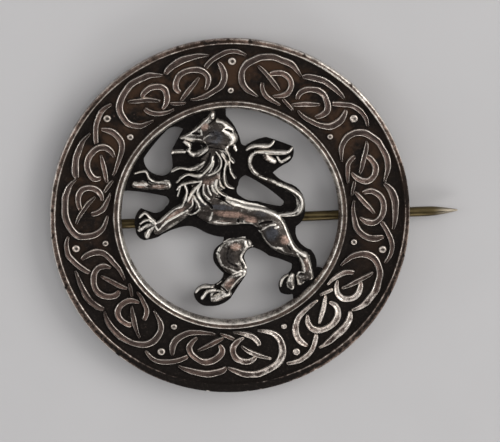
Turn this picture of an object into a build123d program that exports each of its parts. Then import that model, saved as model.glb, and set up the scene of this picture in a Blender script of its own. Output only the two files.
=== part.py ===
"""A round pierced silver brooch: a border of seven interlaced panels round a rampant lion, with a hinged pin.

Millimetres, +Z up. The brooch lies on its back findings with its front up. +X runs along the pin to its
point and +Y is the figure's upright. The origin is the middle of the box's bottom face.
"""
import os
from collections import namedtuple
from math import cos, hypot, radians, sin

from build123d import *

# Border
outer_radius = 24.0
hole_radius = 14.5
floor_thickness = 0.75
outer_rim_rise = 0.6
inner_rim_rise = 0.75
outer_band = 0.55
outer_foot = 0.35
rim_drop = 0.5
inner_band = 0.6
inner_foot = 0.2
inner_slope = 0.5
inner_slope_drop = 0.65
groove_depth = 0.12
edge_round = 0.3
front_edge_bevel = 0.12

# Interlace
panel_count = 7
first_panel_deg = 141.0
strand_width = 0.8
strand_rise = 0.42
under_drop = 0.07
outer_pellet_radius = 0.58
inner_pellet_radius = 0.42
pellet_rise = 0.4
pellet_taper = 0.13
root_depth = 0.3

# Figure
web_thickness = 0.65
web_seat = 0.4
figure_relief = 1.25

# Pin's line across the back
pin_offset = -1.2
pin_rise_deg = 2.1

# Hinge
hinge_outset = 0.55
rivet_radius = 0.4
rivet_clearance = 0.05
rivet_head_overlap = 0.22
rivet_head_height = 0.2
head_gap = 0.03
knuckle_wall = 0.6
knuckle_width = 3.0
hinge_gap = 0.1
foot_clearance = 0.25
back_clearance = 0.35
ear_thickness = 1.0
ear_width = 3.2
ear_foot_width = 2.0
ear_foot_chamfer = 0.5
solder_depth = 0.2

# Catch
catch_inset = 0.05
hook_length = 3.0
hook_thickness = 0.5
hook_clearance = 0.15
hook_headroom = 0.25
hook_play = 1.05
hook_lip = 0.95
hook_corner = 0.5

# Pin
wire_radius = 0.65
tip_overhang = 6.55
tip_radius = 0.12
tip_shoulder = 1.8
tip_shoulder_radius = 0.44
tip_taper = 4.2
root_swell = 0.25
root_length = 3.0

# Worked out from the sizes above
inner_foot_radius = hole_radius + inner_slope + inner_band + inner_foot
outer_foot_radius = outer_radius - outer_band - outer_foot
border_middle = (hole_radius + outer_radius) / 2
panel_deg = 360 / panel_count
bore_radius = rivet_radius + rivet_clearance
knuckle_radius = bore_radius + knuckle_wall
pin_axis_height = foot_clearance + knuckle_radius
stand_off = pin_axis_height + knuckle_radius + back_clearance
solder_height = stand_off + solder_depth
hinge_distance = border_middle + hinge_outset
catch_distance = border_middle - catch_inset
tip_reach = outer_radius + tip_overhang
tip_x = tip_reach * cos(radians(pin_rise_deg)) + tip_radius * sin(radians(pin_rise_deg))
box_shift = Location(((outer_radius - tip_x) / 2, rim_drop / 2, 0))
plate_level = Location((0, 0, stand_off))
pin_line = Location((0, pin_offset, 0), (0, 0, pin_rise_deg))
hinge_place = pin_line * Location((-hinge_distance, 0, pin_axis_height))

# One panel's strands, each through its stops. A stop is in hundredths: along the panel clockwise from its
# first pellets, across the floor from the inner rim to the outer one, and the width over the strand's own.
Stop = namedtuple("Stop", "along across width")
OVER_STRANDS = {
    "left_bar": [(18.5, 67, 36), (29, 49, 88), (39.5, 31.5, 36)],
    "lower_crescent": [(24.8, 37, 60), (26.5, 22, 85), (32, 13.5, 85), (39, 9.5, 65), (46, 8, 35)],
    "foot": [(46.5, 19, 60), (52, 13.5, 65), (59, 9, 35)],
    "top_leaf": [(53, 71, 45), (58, 80, 90), (66, 86.5, 105), (75, 87, 85), (84, 84, 35)],
    "right_bar": [(54, 16, 36), (64, 30, 88), (74, 47, 36)],
    "link": [(80.5, 63, 80), (87, 74, 90), (94, 86, 90), (101, 90, 85), (111, 82, 40)],
}
UNDER_STRANDS = {
    "big_loop": [(24, 11, 30), (12, 20, 95), (7, 46, 120), (11, 72, 115), (27, 87, 115), (40, 85, 115),
                 (50, 73, 50)],
    "small_hook": [(28.5, 57, 80), (38, 62, 95), (46.3, 45, 100), (44.5, 28, 95), (36.5, 18, 40)],
    "right_ring": [(57, 30, 70), (55.5, 45, 100), (61, 59.5, 105), (69, 64.5, 105), (77, 58, 105),
                   (80.8, 42, 100), (77, 22, 55)],
    "right_arc": [(91.2, 67, 55), (93.6, 50, 110), (92.5, 34, 115), (88, 21, 105), (80, 13, 90),
                  (71, 10.5, 65), (62, 12.5, 35)],
}
OUTER_PELLET = (0, 71)
INNER_PELLET = (0, 17)

# The openings cut through the web, as runs of arcs: start, middle, end, middle, end and so on. Places are
# hundredths of the hole's radius. A run that is to meet the rim goes on past it, into the border.
OPENINGS = {
    "before_face": [(-43, 80.5), (-50, 83), (-60, 78), (-71, 65.5), (-79.5, 53.5), (-76, 42.5), (-66, 36.5),
                    (-57, 38), (-53, 45.5), (-53.5, 52.5), (-54.5, 58.5), (-49, 69.5)],
    "below": [(-103, 23), (-98, 22.6), (-94, 23), (-77, 21), (-60, 17.5), (-56.5, 14.5), (-59, 7), (-64, 2),
              (-70, 1), (-76, 3), (-82, 5.5), (-86.5, -1), (-87, -14), (-85, -20), (-79, -24), (-73, -23),
              (-66, -21), (-55, -15), (-44, -11.5), (-36, -11), (-28, -14), (-18, -19), (-6, -21.5),
              (-6, -26), (-10, -30), (-15, -37), (-13.5, -47), (-9.5, -52), (-5.5, -56), (-9, -64),
              (-17, -67.5), (-29, -69.5), (-33, -76), (-29, -83.5), (-19, -87), (-8, -85.5), (1, -79.5),
              (9.5, -66), (15.5, -57), (15.5, -50), (13, -42), (15, -35.5), (21, -31.5), (29, -34.5),
              (36, -39.5), (46, -42.5), (57, -47), (57, -53), (51, -58.5), (45.5, -66), (47, -74.5),
              (53, -76.5), (58, -76), (59, -83), (58, -90), (-38, -100)],
    "behind": [(-4, 105), (-4.5, 98), (-4, 92), (4, 82), (9.5, 68), (11, 65), (14, 64), (25, 70), (33, 72),
               (45, 68), (57.5, 63), (58, 56), (53, 48.5), (45, 44), (39, 39), (42, 35.5), (53, 28.5),
               (66, 19), (69, 5), (66, -7), (61, -11.5), (60.5, -17), (64, -27), (69, -32), (75, -35),
               (79, -41), (80, -51), (86, -52), (93, -52), (78, 70)],
    "over_back": [(7, 18.5), (14, 13.5), (25, 11.5), (36, 8.5), (46, 6.8), (49.5, 9.5), (48, 13.5),
                  (34, 25), (14, 37), (9, 33.5), (7.5, 28), (6, 22.5)],
}

# The lion's raised parts on the web, each through its ribs. Places and half widths are hundredths of the
# hole's radius, and crests are hundredths of the figure's relief.
Rib = namedtuple("Rib", "x y half_width crest")
BROAD_LIMBS = {
    "neck": [(-11, 62, 10, 74), (-15, 50, 12, 72), (-19, 36, 14.5, 76), (-22, 22, 15, 74),
             (-23, 10, 12, 70)],
    "head": [(-39, 73, 3.5, 52), (-30, 75.5, 7.5, 72), (-20, 78, 11.5, 90), (-10, 77, 12.5, 96),
             (-1, 72.5, 8, 84)],
    "barrel": [(-24, 5, 9, 62), (-14, 4.5, 13, 78), (-2, 3, 13, 80), (10, 1.5, 10.5, 76), (22, 0, 9.5, 76),
               (34, -5, 11.5, 80)],
    "haunch": [(37, -5, 11.5, 80), (42, -17, 12.5, 92), (48.5, -28, 9.5, 86), (58, -36, 5.2, 68),
               (68, -40, 4.6, 60)],
    "near_arm": [(-28, 16, 7, 78), (-37, 9.5, 7, 80), (-47, 2, 6.6, 74), (-57, -5, 6, 68),
                 (-67, -12, 5.2, 62)],
    "far_thigh": [(18, -27.5, 4.5, 46), (9, -28, 7, 66), (0.5, -34, 9.4, 78), (-1.5, -43, 9.6, 76),
                  (3, -51, 7, 66), (12, -55.5, 4, 60)],
}
FLOWING_PARTS = {
    "forelock": [(-33, 79.5, 3, 56), (-24, 85, 5.5, 72), (-18, 91.5, 3.8, 66), (-16, 96, 2, 56)],
    "nape": [(-12, 88.5, 3.2, 60), (-5, 85, 3.6, 66), (1.5, 80, 2.4, 54)],
    "far_arm": [(-56, 28.5, 3.6, 44), (-66, 28, 4, 50), (-76, 28, 3.8, 50), (-89, 29, 2.6, 38)],
    "tail": [(45, 0, 2.2, 48), (55, 0.5, 2.6, 54), (62, 2.5, 3, 60), (65.5, 9, 3.2, 60),
             (63.5, 17, 3.2, 60), (54, 24.5, 3.2, 58), (42, 29.5, 3.2, 54), (30, 34.5, 3.1, 52),
             (21.5, 40.5, 3, 52), (17.5, 48.5, 2.8, 50), (19, 56, 2.6, 50), (25, 59.5, 2.4, 54)],
    "tuft_top": [(15, 61.5, 2, 44), (22, 64.8, 3, 54), (35, 65, 2.6, 52), (40, 69.5, 1.2, 34)],
    "tuft_middle": [(23, 59.3, 2.4, 54), (38, 59, 2.9, 58), (52, 59, 2.5, 52), (57, 63.5, 1.2, 32)],
    "chin_lock": [(-25, 49, 1.8, 78), (-33, 44.5, 2.2, 62), (-45, 45, 1.6, 48), (-54, 41, 1, 36)],
    "cheek_lock": [(-17, 54, 2, 88), (-19, 45, 2.4, 92), (-27, 37.5, 2.6, 84), (-39, 38.5, 1.8, 60),
                   (-49, 31, 1.1, 36)],
    "throat_lock": [(-27, 33, 2.4, 86), (-38, 30.5, 2, 66), (-47, 28, 1.8, 46), (-49, 23, 1.1, 36)],
    "breast_lock": [(-42, 29, 1.8, 56), (-39.5, 22, 2, 62), (-42, 13, 2.2, 64)],
    "fore_lock": [(-47, 26, 1.4, 44), (-49, 18, 1, 34)],
    "shoulder_lock": [(-27, 31, 2.6, 88), (-34, 23, 2.6, 84), (-40, 13, 2.6, 80)],
    "chest_lock": [(-28, 27, 1.8, 88), (-29, 18, 2, 86), (-24, 11.5, 1.4, 78)],
    "middle_lock": [(-23.5, 29, 1.6, 90), (-23, 21, 1.7, 88), (-18.5, 16, 1.2, 80)],
    "back_lock": [(-11.5, 34, 2, 92), (-13.5, 25, 2.4, 90), (-9, 20.5, 1.8, 82), (-4, 18.5, 1.1, 72)],
    "long_lock": [(-7, 57, 2, 86), (-4.5, 49, 2.1, 88), (-6.5, 37, 2.2, 86), (-3, 27, 1.8, 68),
                  (3, 25, 1.1, 44)],
    "nape_lock": [(-4, 62, 1.7, 74), (-1, 54, 1.4, 66), (3, 49, 1.2, 50)],
    "outer_lock": [(-1, 50, 1.5, 62), (-0.5, 42, 1.7, 60), (4, 34.5, 1.1, 42)],
    "inner_lock": [(-13, 60, 1.8, 90), (-8, 51, 2, 92), (-11, 42, 2, 92), (-20, 37.5, 1.6, 88)],
}
SMALL_PARTS = {
    "nose": [(-34, 72, 4.5, 62), (-40, 72.5, 3, 56), (-45, 72.5, 1.6, 44)],
    "upper_lip": [(-41, 69, 2.4, 50), (-37, 65, 3, 60), (-38.5, 61, 2, 48)],
    "jaw": [(-22, 63, 3, 62), (-29, 60.5, 3.5, 62), (-34.5, 57, 2.2, 48)],
    "tongue": [(-42, 60, 1.5, 32), (-54.5, 58.5, 2.1, 36)],
    "elbow": [(-26, 9, 2.4, 60), (-29, 3.5, 2.6, 54), (-35, 1, 2, 44)],
    "paw_toe_a": [(-67, -10, 3, 56), (-73, -13.5, 3, 52), (-77, -20, 2.2, 38)],
    "paw_toe_b": [(-69, -8.5, 3, 54), (-78, -9.5, 3, 50), (-83, -14, 2, 36)],
    "paw_toe_c": [(-70, -6, 2.4, 52), (-78, -4.5, 2, 46), (-84, -9, 1.5, 34)],
    "paw_toe_d": [(-69, -6.5, 2, 50), (-76, 0.5, 2.4, 48), (-82.5, -1.5, 1.8, 36)],
    "far_paw": [(-71, 32, 1.6, 42), (-76, 38, 1.9, 44), (-80, 42, 1.8, 44), (-87, 40, 1.4, 36)],
    "near_shank": [(68, -40, 4.5, 60), (70, -49, 4.2, 54), (71.5, -57, 4.6, 54), (75.5, -60.5, 1.8, 40)],
    "near_foot": [(71, -59, 4, 50), (65, -60.5, 3.8, 52), (64.5, -66, 2, 40)],
    "near_toe": [(57.5, -56.5, 2, 36), (56, -63, 3.2, 50), (58, -70, 2.1, 38)],
    "near_back_toe": [(51.5, -59, 1.6, 32), (48, -66, 2, 36)],
    "far_shank": [(13, -54, 3.2, 60), (4, -61.5, 4.6, 60), (-4, -69.5, 4, 58)],
    "far_foot": [(-1, -74, 3, 58), (-8, -77, 4, 60), (-15.5, -79.5, 3.6, 48)],
    "far_toe": [(-12, -71, 2.4, 50), (-21, -72.5, 2.4, 50), (-26, -79, 2.2, 40)],
    "far_back_toe": [(-16, -68.5, 1.8, 44), (-26, -70, 2, 44), (-31, -74.5, 1.8, 34)],
    "tuft_low": [(32.5, 57.5, 1.8, 48), (36, 52, 2.6, 50), (41, 50, 1.8, 38)],
    "tuft_end": [(43, 54, 1.5, 36), (46.5, 49, 2, 40), (54, 53, 1.6, 30)],
}
# Steps between two ribs, and a raised part's cross-section as shares of its half width and its crest.
BROAD_STEPS = 2
FLOWING_STEPS = 2
SMALL_STEPS = 1
BROAD_ARCH = [(-1, 0), (-0.86, 0.52), (-0.42, 0.94), (0.42, 0.94), (0.86, 0.52), (1, 0)]
SLIM_ARCH = [(-1, 0), (-0.5, 1), (0.5, 1), (1, 0)]


def arc_run(points):
    """Arcs from every second point to the next but one, each through the point between."""
    return [ThreePointArc(*points[i:i + 3]) for i in range(0, len(points) - 2, 2)]


def normals(points):
    """The unit normal at each point of a run, to the left of its way."""
    result = []
    for i in range(len(points)):
        before, after = points[max(i - 1, 0)], points[min(i + 1, len(points) - 1)]
        dx, dy = after[0] - before[0], after[1] - before[1]
        length = hypot(dx, dy)
        result.append((-dy / length, dx / length))
    return result


def outer_rim():
    """The flat outer rim. The lower half of its outline is set lower than the ring, so it is wider there."""
    upper = ThreePointArc((outer_radius, 0), (0, outer_radius), (-outer_radius, 0))
    lower = ThreePointArc((outer_radius, -rim_drop), (0, -rim_drop - outer_radius), (-outer_radius, -rim_drop))
    joins = [Line(upper @ 0, lower @ 0), Line(upper @ 1, lower @ 1)]
    blank = extrude(make_face([upper, lower] + joins), floor_thickness + outer_rim_rise)
    blank = chamfer(blank.edges().group_by(Axis.Z)[0], edge_round)
    blank = chamfer(blank.edges().group_by(Axis.Z)[-1], front_edge_bevel)
    return blank - Cylinder(outer_radius - outer_band, 3 * (floor_thickness + outer_rim_rise))


def border():
    """The ring: a sunk floor between a flat outer rim and a grooved inner one, turned about the middle."""
    outer_top = floor_thickness + outer_rim_rise
    inner_top = floor_thickness + inner_rim_rise
    rim_inside = hole_radius + inner_slope
    rim_outside = rim_inside + inner_band
    profile = Polyline(
        (hole_radius + edge_round, 0),
        (hole_radius, edge_round),
        (hole_radius, inner_top - inner_slope_drop),
        (rim_inside, inner_top),
        ((rim_inside + rim_outside) / 2, inner_top - groove_depth),
        (rim_outside, inner_top - groove_depth / 2),
        (inner_foot_radius, floor_thickness),
        (outer_foot_radius, floor_thickness),
        (outer_radius - outer_band, outer_top),
        (outer_radius - outer_band, 0),
        close=True,
    )
    return revolve(Plane.XZ * make_face(profile), Axis.Z).fuse(outer_rim())


def on_panel(along, across):
    """A place in the first panel, clockwise seen from the front."""
    angle = radians(first_panel_deg - along / 100 * panel_deg)
    radius = inner_foot_radius + across / 100 * (outer_foot_radius - inner_foot_radius)
    return radius * cos(angle), radius * sin(angle)


def strand(rows, rise):
    """One ribbon of the interlace: two sides of arcs, closed by short ends, raised off the floor."""
    stops = [Stop(*row) for row in rows]
    middle = [on_panel(stop.along, stop.across) for stop in stops]
    left, right = [], []
    for (x, y), (nx, ny), stop in zip(middle, normals(middle), stops):
        half = strand_width * stop.width / 100 / 2
        left.append((x + nx * half, y + ny * half))
        right.append((x - nx * half, y - ny * half))
    ends = [Line(left[0], right[0]), Line(left[-1], right[-1])]
    ribbon = make_face(arc_run(left) + arc_run(right) + ends)
    return Pos(0, 0, floor_thickness - root_depth) * extrude(ribbon, root_depth + rise)


def pellet(place, radius):
    """A low round dot between two panels."""
    x, y = on_panel(*place)
    height = root_depth + pellet_rise
    return Pos(x, y, floor_thickness - root_depth + height / 2) * Cone(radius, radius - pellet_taper, height)


def panel():
    """The strands and the two pellets of the first panel."""
    over = [strand(rows, strand_rise) for rows in OVER_STRANDS.values()]
    under = [strand(rows, strand_rise - under_drop) for rows in UNDER_STRANDS.values()]
    dots = [pellet(OUTER_PELLET, outer_pellet_radius), pellet(INNER_PELLET, inner_pellet_radius)]
    return over + under + dots


def web():
    """The thin plate behind the figure, seated in the inner rim, with the openings cut through it."""
    face = Sketch() + Circle(hole_radius + web_seat)
    for points in OPENINGS.values():
        corners = [(x / 100 * hole_radius, y / 100 * hole_radius) for x, y in points]
        face -= make_face(arc_run(corners + corners[:1]))
    return extrude(face, web_thickness)


def smoothed(rows, steps):
    """The ribs of a raised part with more between them, on a smooth curve through those of the table."""
    ribs = [Rib(*row) for row in rows]
    result = []
    for i in range(len(ribs) - 1):
        start, end = ribs[i], ribs[i + 1]
        before, after = ribs[max(i - 1, 0)], ribs[min(i + 2, len(ribs) - 1)]
        for step in range(steps):
            t = step / steps
            result.append(Rib(*(
                b + t / 2 * (c - a + t * (2 * a - 5 * b + 4 * c - d + t * (3 * b - a - 3 * c + d)))
                for a, b, c, d in zip(before, start, end, after)
            )))
    return result + ribs[-1:]


def raised(ribs, arch):
    """A raised part of the figure: flats that join one cross-section to the next along its middle line."""
    unit = hole_radius / 100
    middle = [(rib.x * unit, rib.y * unit) for rib in ribs]
    root = web_thickness - root_depth
    sections = []
    for (x, y), (nx, ny), rib in zip(middle, normals(middle), ribs):
        half = rib.half_width * unit
        top = root_depth + figure_relief * rib.crest / 100
        section = [(x + nx * half * side, y + ny * half * side, root + top * lift) for side, lift in arch]
        sections.append(section)
    faces = [Face(Wire.make_polygon(sections[0])), Face(Wire.make_polygon(sections[-1]))]
    for near, far in zip(sections, sections[1:]):
        for i in range(len(arch)):
            j = (i + 1) % len(arch)
            faces.append(Face(Wire.make_polygon([near[i], near[j], far[j]])))
            faces.append(Face(Wire.make_polygon([near[i], far[j], far[i]])))
    return Solid(Shell(faces))


def figure():
    """The lion's raised parts."""
    parts = [raised(smoothed(rows, BROAD_STEPS), BROAD_ARCH) for rows in BROAD_LIMBS.values()]
    parts += [raised(smoothed(rows, FLOWING_STEPS), SLIM_ARCH) for rows in FLOWING_PARTS.values()]
    parts += [raised(smoothed(rows, SMALL_STEPS), SLIM_ARCH) for rows in SMALL_PARTS.values()]
    return parts


def ear(side):
    """One ear of the hinge: a plate from the back of the border down to its foot, drilled for the rivet."""
    half, foot = ear_width / 2, ear_foot_width / 2
    outline = Polyline(
        (-half, solder_height),
        (half, solder_height),
        (half, pin_axis_height),
        (foot + ear_foot_chamfer / 2, ear_foot_chamfer),
        (foot, 0),
        (-foot, 0),
        (-foot - ear_foot_chamfer / 2, ear_foot_chamfer),
        (-half, pin_axis_height),
        close=True,
    )
    centre = side * (knuckle_width / 2 + hinge_gap + ear_thickness / 2)
    blank = extrude(Plane.XZ * make_face(outline), ear_thickness / 2, both=True)
    bore = Pos(0, 0, pin_axis_height) * Rot(90, 0, 0) * Cylinder(bore_radius, 2 * ear_thickness)
    return Pos(-hinge_distance, centre, 0) * (blank - bore)


def hook():
    """The catch: a strip bent to a C, soldered on by its upper arm, with its mouth to the lower side."""
    mouth = -wire_radius - hook_lip
    spine_inside = wire_radius + hook_play
    spine_outside = spine_inside + hook_thickness
    lower_arm = pin_axis_height - wire_radius - hook_clearance
    upper_arm = pin_axis_height + wire_radius + hook_headroom
    outline = Polyline(
        (mouth, 0),
        (spine_outside, 0),
        (spine_outside, solder_height),
        (mouth, solder_height),
        (mouth, upper_arm),
        (spine_inside, upper_arm),
        (spine_inside, lower_arm),
        (mouth, lower_arm),
        close=True,
    )
    profile = make_face(outline)
    corner = profile.vertices().sort_by(Axis.Y)[:2].sort_by(Axis.X)[-1]
    strip = extrude(Plane.YZ * fillet(corner, hook_corner), hook_length / 2, both=True)
    return Pos(catch_distance, 0, 0) * strip


def plate():
    """Border, interlace, figure and findings, cast and soldered into one piece."""
    one_panel = panel()
    strands = [Rot(0, 0, -k * panel_deg) * piece for k in range(panel_count) for piece in one_panel]
    front = border().fuse(*strands).fuse(web(), *figure())
    findings = [pin_line * piece for piece in (ear(1), ear(-1), hook())]
    return (plate_level * front).fuse(*findings)


def pin_stem():
    """The wire: a drilled knuckle, a swelling where it leaves it, a plain run and a point of two tapers."""
    length = hinge_distance + tip_reach
    profile = Polyline(
        (0, 0),
        (0, wire_radius + root_swell),
        (root_length, wire_radius),
        (length - tip_taper, wire_radius),
        (length - tip_shoulder, tip_shoulder_radius),
        (length, tip_radius),
        (length, 0),
        close=True,
    )
    wire = revolve(make_face(profile), Axis.X)
    knuckle = Rot(90, 0, 0) * Cylinder(knuckle_radius, knuckle_width)
    bore = Rot(90, 0, 0) * Cylinder(bore_radius, 2 * knuckle_width)
    return hinge_place * (knuckle + wire - bore)


def hinge_rivet():
    """The hinge's rivet with its two low heads."""
    half = knuckle_width / 2 + hinge_gap + ear_thickness + head_gap
    shaft = Cylinder(rivet_radius, 2 * half)
    head = Cylinder(bore_radius + rivet_head_overlap, rivet_head_height)
    heads = [Pos(0, 0, side * (half + rivet_head_height / 2)) * head for side in (1, -1)]
    return hinge_place * Rot(90, 0, 0) * shaft.fuse(*heads)


if __name__ == "__main__":
    os.makedirs("parts", exist_ok=True)
    for piece in (plate, pin_stem, hinge_rivet):
        export_step(box_shift * piece(), f"parts/{piece.__name__}.step")
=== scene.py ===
"""The silver brooch as it looks: cast, darkened and worn silver, with its brass pin, on a pale studio floor.

Shapes are worked out in the brooch's own millimetres, from the middle of its ring and up from the floor it lies
on, and put into the frame at the end. Places on the lion are in hundredths of the hole's radius.
"""

import logging
from collections.abc import Sequence
from dataclasses import dataclass, field
from enum import Enum
from math import cos, pi, radians, sin, tau
from typing import NamedTuple

import bmesh
import bpy
import numpy as np
from mathutils import Matrix, Vector
from mathutils.geometry import delaunay_2d_cdt

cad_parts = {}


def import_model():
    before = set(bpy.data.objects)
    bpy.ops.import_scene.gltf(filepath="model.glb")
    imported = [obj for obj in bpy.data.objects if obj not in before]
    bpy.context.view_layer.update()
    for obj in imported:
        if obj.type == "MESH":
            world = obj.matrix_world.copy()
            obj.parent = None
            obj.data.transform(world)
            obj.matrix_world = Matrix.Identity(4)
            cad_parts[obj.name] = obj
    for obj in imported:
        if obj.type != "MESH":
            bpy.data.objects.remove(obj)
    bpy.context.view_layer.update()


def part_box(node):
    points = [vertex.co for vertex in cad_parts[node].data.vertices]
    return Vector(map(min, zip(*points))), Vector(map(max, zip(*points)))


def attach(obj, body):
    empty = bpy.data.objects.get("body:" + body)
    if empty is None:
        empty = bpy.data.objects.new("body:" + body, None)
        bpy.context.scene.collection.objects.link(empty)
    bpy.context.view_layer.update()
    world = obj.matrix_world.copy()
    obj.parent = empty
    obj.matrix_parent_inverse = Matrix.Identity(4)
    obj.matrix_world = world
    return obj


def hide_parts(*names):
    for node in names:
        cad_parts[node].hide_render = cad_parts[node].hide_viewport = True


log = logging.getLogger("brooch")

Socket = bpy.types.NodeSocket
Colour = tuple[float, float, float]


class Shape(NamedTuple):
    """Points in millimetres, the faces between them, and marks: one number a point under each name."""

    points: np.ndarray
    faces: list
    marks: dict[str, np.ndarray]


class Stop(NamedTuple):
    """A stop of a strand: hundredths along the panel and across it, of the strand's width and of its rise."""

    along: float
    across: float
    width: float
    rise: float = 100


class Line(NamedTuple):
    """A fine line: how far it stands up or is sunk, how bright (wear and painted highlight) or how sooty (soot and
    painted shade) it is, and its points with half widths.
    """

    lift: float
    wear: float
    points: list


class Patch(NamedTuple):
    """A soft patch of the figure: its middle, its two radii and turn in degrees, and its strength."""

    x: float
    y: float
    long: float
    short: float
    turn: float
    strength: float


# One panel's strands, each through its stops, clockwise from the panel's first dots and out from the inner rim.
STRANDS = {
    "left_bar": [(18, 67.5, 34), (23, 60, 70), (29, 50, 84), (35, 40, 70), (40, 31, 34)],
    "lower_crescent": [(24.6, 38, 66), (25.6, 28, 82), (28, 19.5, 88), (32, 13.5, 85), (39, 8.5, 65), (46, 6.5, 30)],
    "foot": [(44.5, 20, 45), (48.5, 15.5, 62), (53, 11.5, 60), (58, 8, 35)],
    "top_leaf": [(51, 70.5, 60, 70), (54.5, 77.5, 112), (60, 83, 124), (66, 86.5, 124), (74, 87, 108),
                 (80, 85.5, 72), (85, 83, 25)],
    "right_bar": [(53.5, 15.5, 32), (58, 21.5, 70), (64, 30, 84), (69.5, 38.5, 72), (74.5, 47.5, 34)],
    "link": [(80, 61, 74), (83, 67.5, 84), (87, 75, 92), (92, 83, 92), (98, 88.5, 90), (104, 88, 80),
             (110, 82.5, 40)],
    "big_loop": [(24.5, 9, 26), (18, 14, 66), (12, 21, 96), (8, 33, 112), (7.2, 46, 120), (8.6, 60, 120),
                 (12.5, 72.5, 118), (19, 82, 118), (27, 87.5, 118), (34, 88, 116), (41, 85, 108), (46, 79, 76),
                 (50.5, 71.5, 34)],
    "small_hook": [(28.3, 56, 70, 62), (32, 61, 96), (38, 63, 104), (43.5, 57.5, 104), (46.6, 46, 106),
                   (46.2, 34, 104), (43.6, 26, 94), (40, 20.5, 66), (36, 17, 34, 70)],
    "right_ring": [(56.8, 29, 66, 60), (55.2, 39, 96), (56.4, 49, 106), (60.5, 59.5, 108), (66, 65, 108),
                   (72, 63.5, 106), (77.5, 57, 106), (80.8, 46, 106), (80.6, 35, 100), (78.6, 26.5, 70),
                   (76.6, 21, 40)],
    "right_arc": [(90.6, 70, 50, 70), (92.6, 60, 96), (93.7, 49, 114), (93.2, 37, 118), (90.6, 26, 112),
                  (86, 18, 104), (80, 13, 92), (73, 10, 78), (66, 10, 58), (61, 12.5, 30)],
}
# Dots between two panels: along, across, then the size and how hollow it is worn, in hundredths.
DOTS = [(-0.2, 71, 118, 100), (-0.4, 16.5, 90, 40)]

# Where strands and dots are worn more or less than elsewhere: degrees round from +X, reach and amount.
WORN_ARCS = [(-40, 24, 0.5), (-58, 20, 0.3), (-77, 18, 0.46), (28, 26, -0.02), (92, 30, -0.04),
             (150, 30, -0.02), (-142, 24, -0.42), (-112, 14, -0.12), (-160, 18, -0.12), (-8, 16, -0.02)]
# The same for the outer rim, and for the inner one.
# The outer rim's brighter upper right and the inner rim's brighter lower left, which face the light, are painted
# highlight.
OUTER_RIM_ARCS = [(52, 34, 0.34), (178, 22, 0.02), (140, 20, -0.1), (-140, 40, -0.1), (-92, 52, -0.55),
                  (-30, 34, -0.22), (8, 18, -0.4), (98, 22, -0.2)]
INNER_RIM_ARCS = [(-128, 52, 0.06), (-60, 26, -0.14), (-20, 40, -0.24), (60, 44, -0.16), (105, 30, -0.2),
                  (5, 20, -0.14), (142, 26, -0.12), (175, 24, -0.08)]
# The same again for the outer rim's edge, with the small bright specks along its bottom; its brighter upper right,
# which faces the light, is painted highlight.
OUTER_EDGE_ARCS = [(-168, 44, 0.5), (32, 40, 0.4), (-2, 18, 0.35), (-128, 16, 0.4), (-97, 0.8, 1.4),
                   (-87, 0.7, 1.4), (-84.4, 0.8, 1.2), (-80, 0.6, 1.1), (-69, 0.7, 1.2),
                   (-61, 0.5, 1.0), (-111, 0.6, 1.0)]
# Nicks in the outer rim: degrees round from +X, how wide in degrees, and depth in millimetres.
NICKS = [(84, 0.7, 0.10), (91, 0.5, 0.08), (99, 0.9, 0.09), (107, 0.6, 0.12), (171, 1.1, 0.10), (178, 0.7, 0.13),
         (186, 0.9, 0.08), (196, 0.6, 0.10), (203, 1.2, 0.06), (231, 0.8, 0.10), (252, 0.5, 0.12), (268, 0.9, 0.09),
         (275, 0.5, 0.12), (289, 0.7, 0.10), (309, 0.6, 0.09), (334, 0.9, 0.10), (347, 0.6, 0.08), (5, 0.8, 0.12),
         (12, 0.5, 0.09), (27, 0.7, 0.06), (48, 0.5, 0.08), (66, 0.8, 0.07)]

# The openings cut through the web, as runs of arcs: start, middle, end, middle, end and so on.
OPENINGS = {
    "before_face": [(-43, 80.5), (-50, 83), (-60, 78), (-71, 65.5), (-79.5, 53.5), (-76, 42.5), (-66, 36.5),
                    (-57, 38), (-53, 45.5), (-53.5, 52.5), (-54.5, 58.5), (-49, 69.5)],
    "below": [(-103, 23), (-98, 22.6), (-94, 23), (-77, 21), (-60, 17.5), (-56.5, 14.5), (-59, 7), (-64, 2), (-70, 1),
              (-76, 3), (-82, 5.5), (-86.5, -1), (-87, -14), (-85, -20), (-79, -24), (-73, -23), (-66, -21),
              (-55, -15), (-44, -11.5), (-36, -11), (-28, -14), (-18, -19), (-6, -21.5), (-6, -26), (-10, -30),
              (-15, -37), (-13.5, -47), (-9.5, -52), (-5.5, -56), (-9, -64), (-17, -67.5), (-29, -69.5),
              (-33, -76), (-29, -83.5), (-19, -87), (-8, -85.5), (1, -79.5), (9.5, -66), (15.5, -57), (15.5, -50),
              (13, -42), (15, -35.5), (21, -31.5), (29, -34.5), (36, -39.5), (46, -42.5), (57, -47), (57, -53),
              (51, -58.5), (45.5, -66), (47, -74.5), (53, -76.5), (58, -76), (59, -83), (58, -90), (-38, -100)],
    "behind": [(-4, 105), (-4.5, 98), (-4, 92), (4, 82), (9.5, 68), (11, 65), (14, 64), (25, 70), (33, 72), (45, 68),
               (57.5, 63), (58, 56), (53, 48.5), (45, 44), (39, 39), (42, 35.5), (53, 28.5), (66, 19), (69, 5),
               (66, -7), (61, -11.5), (60.5, -17), (64, -27), (69, -32), (75, -35), (79, -41), (80, -51),
               (86, -52), (93, -52), (78, 70)],
    "over_back": [(7, 18.5), (14, 13.5), (25, 11.5), (36, 8.5), (46, 6.8), (49.5, 9.5), (48, 13.5), (34, 25),
                  (14, 37), (9, 33.5), (7.5, 28), (6, 22.5)],
}

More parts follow.
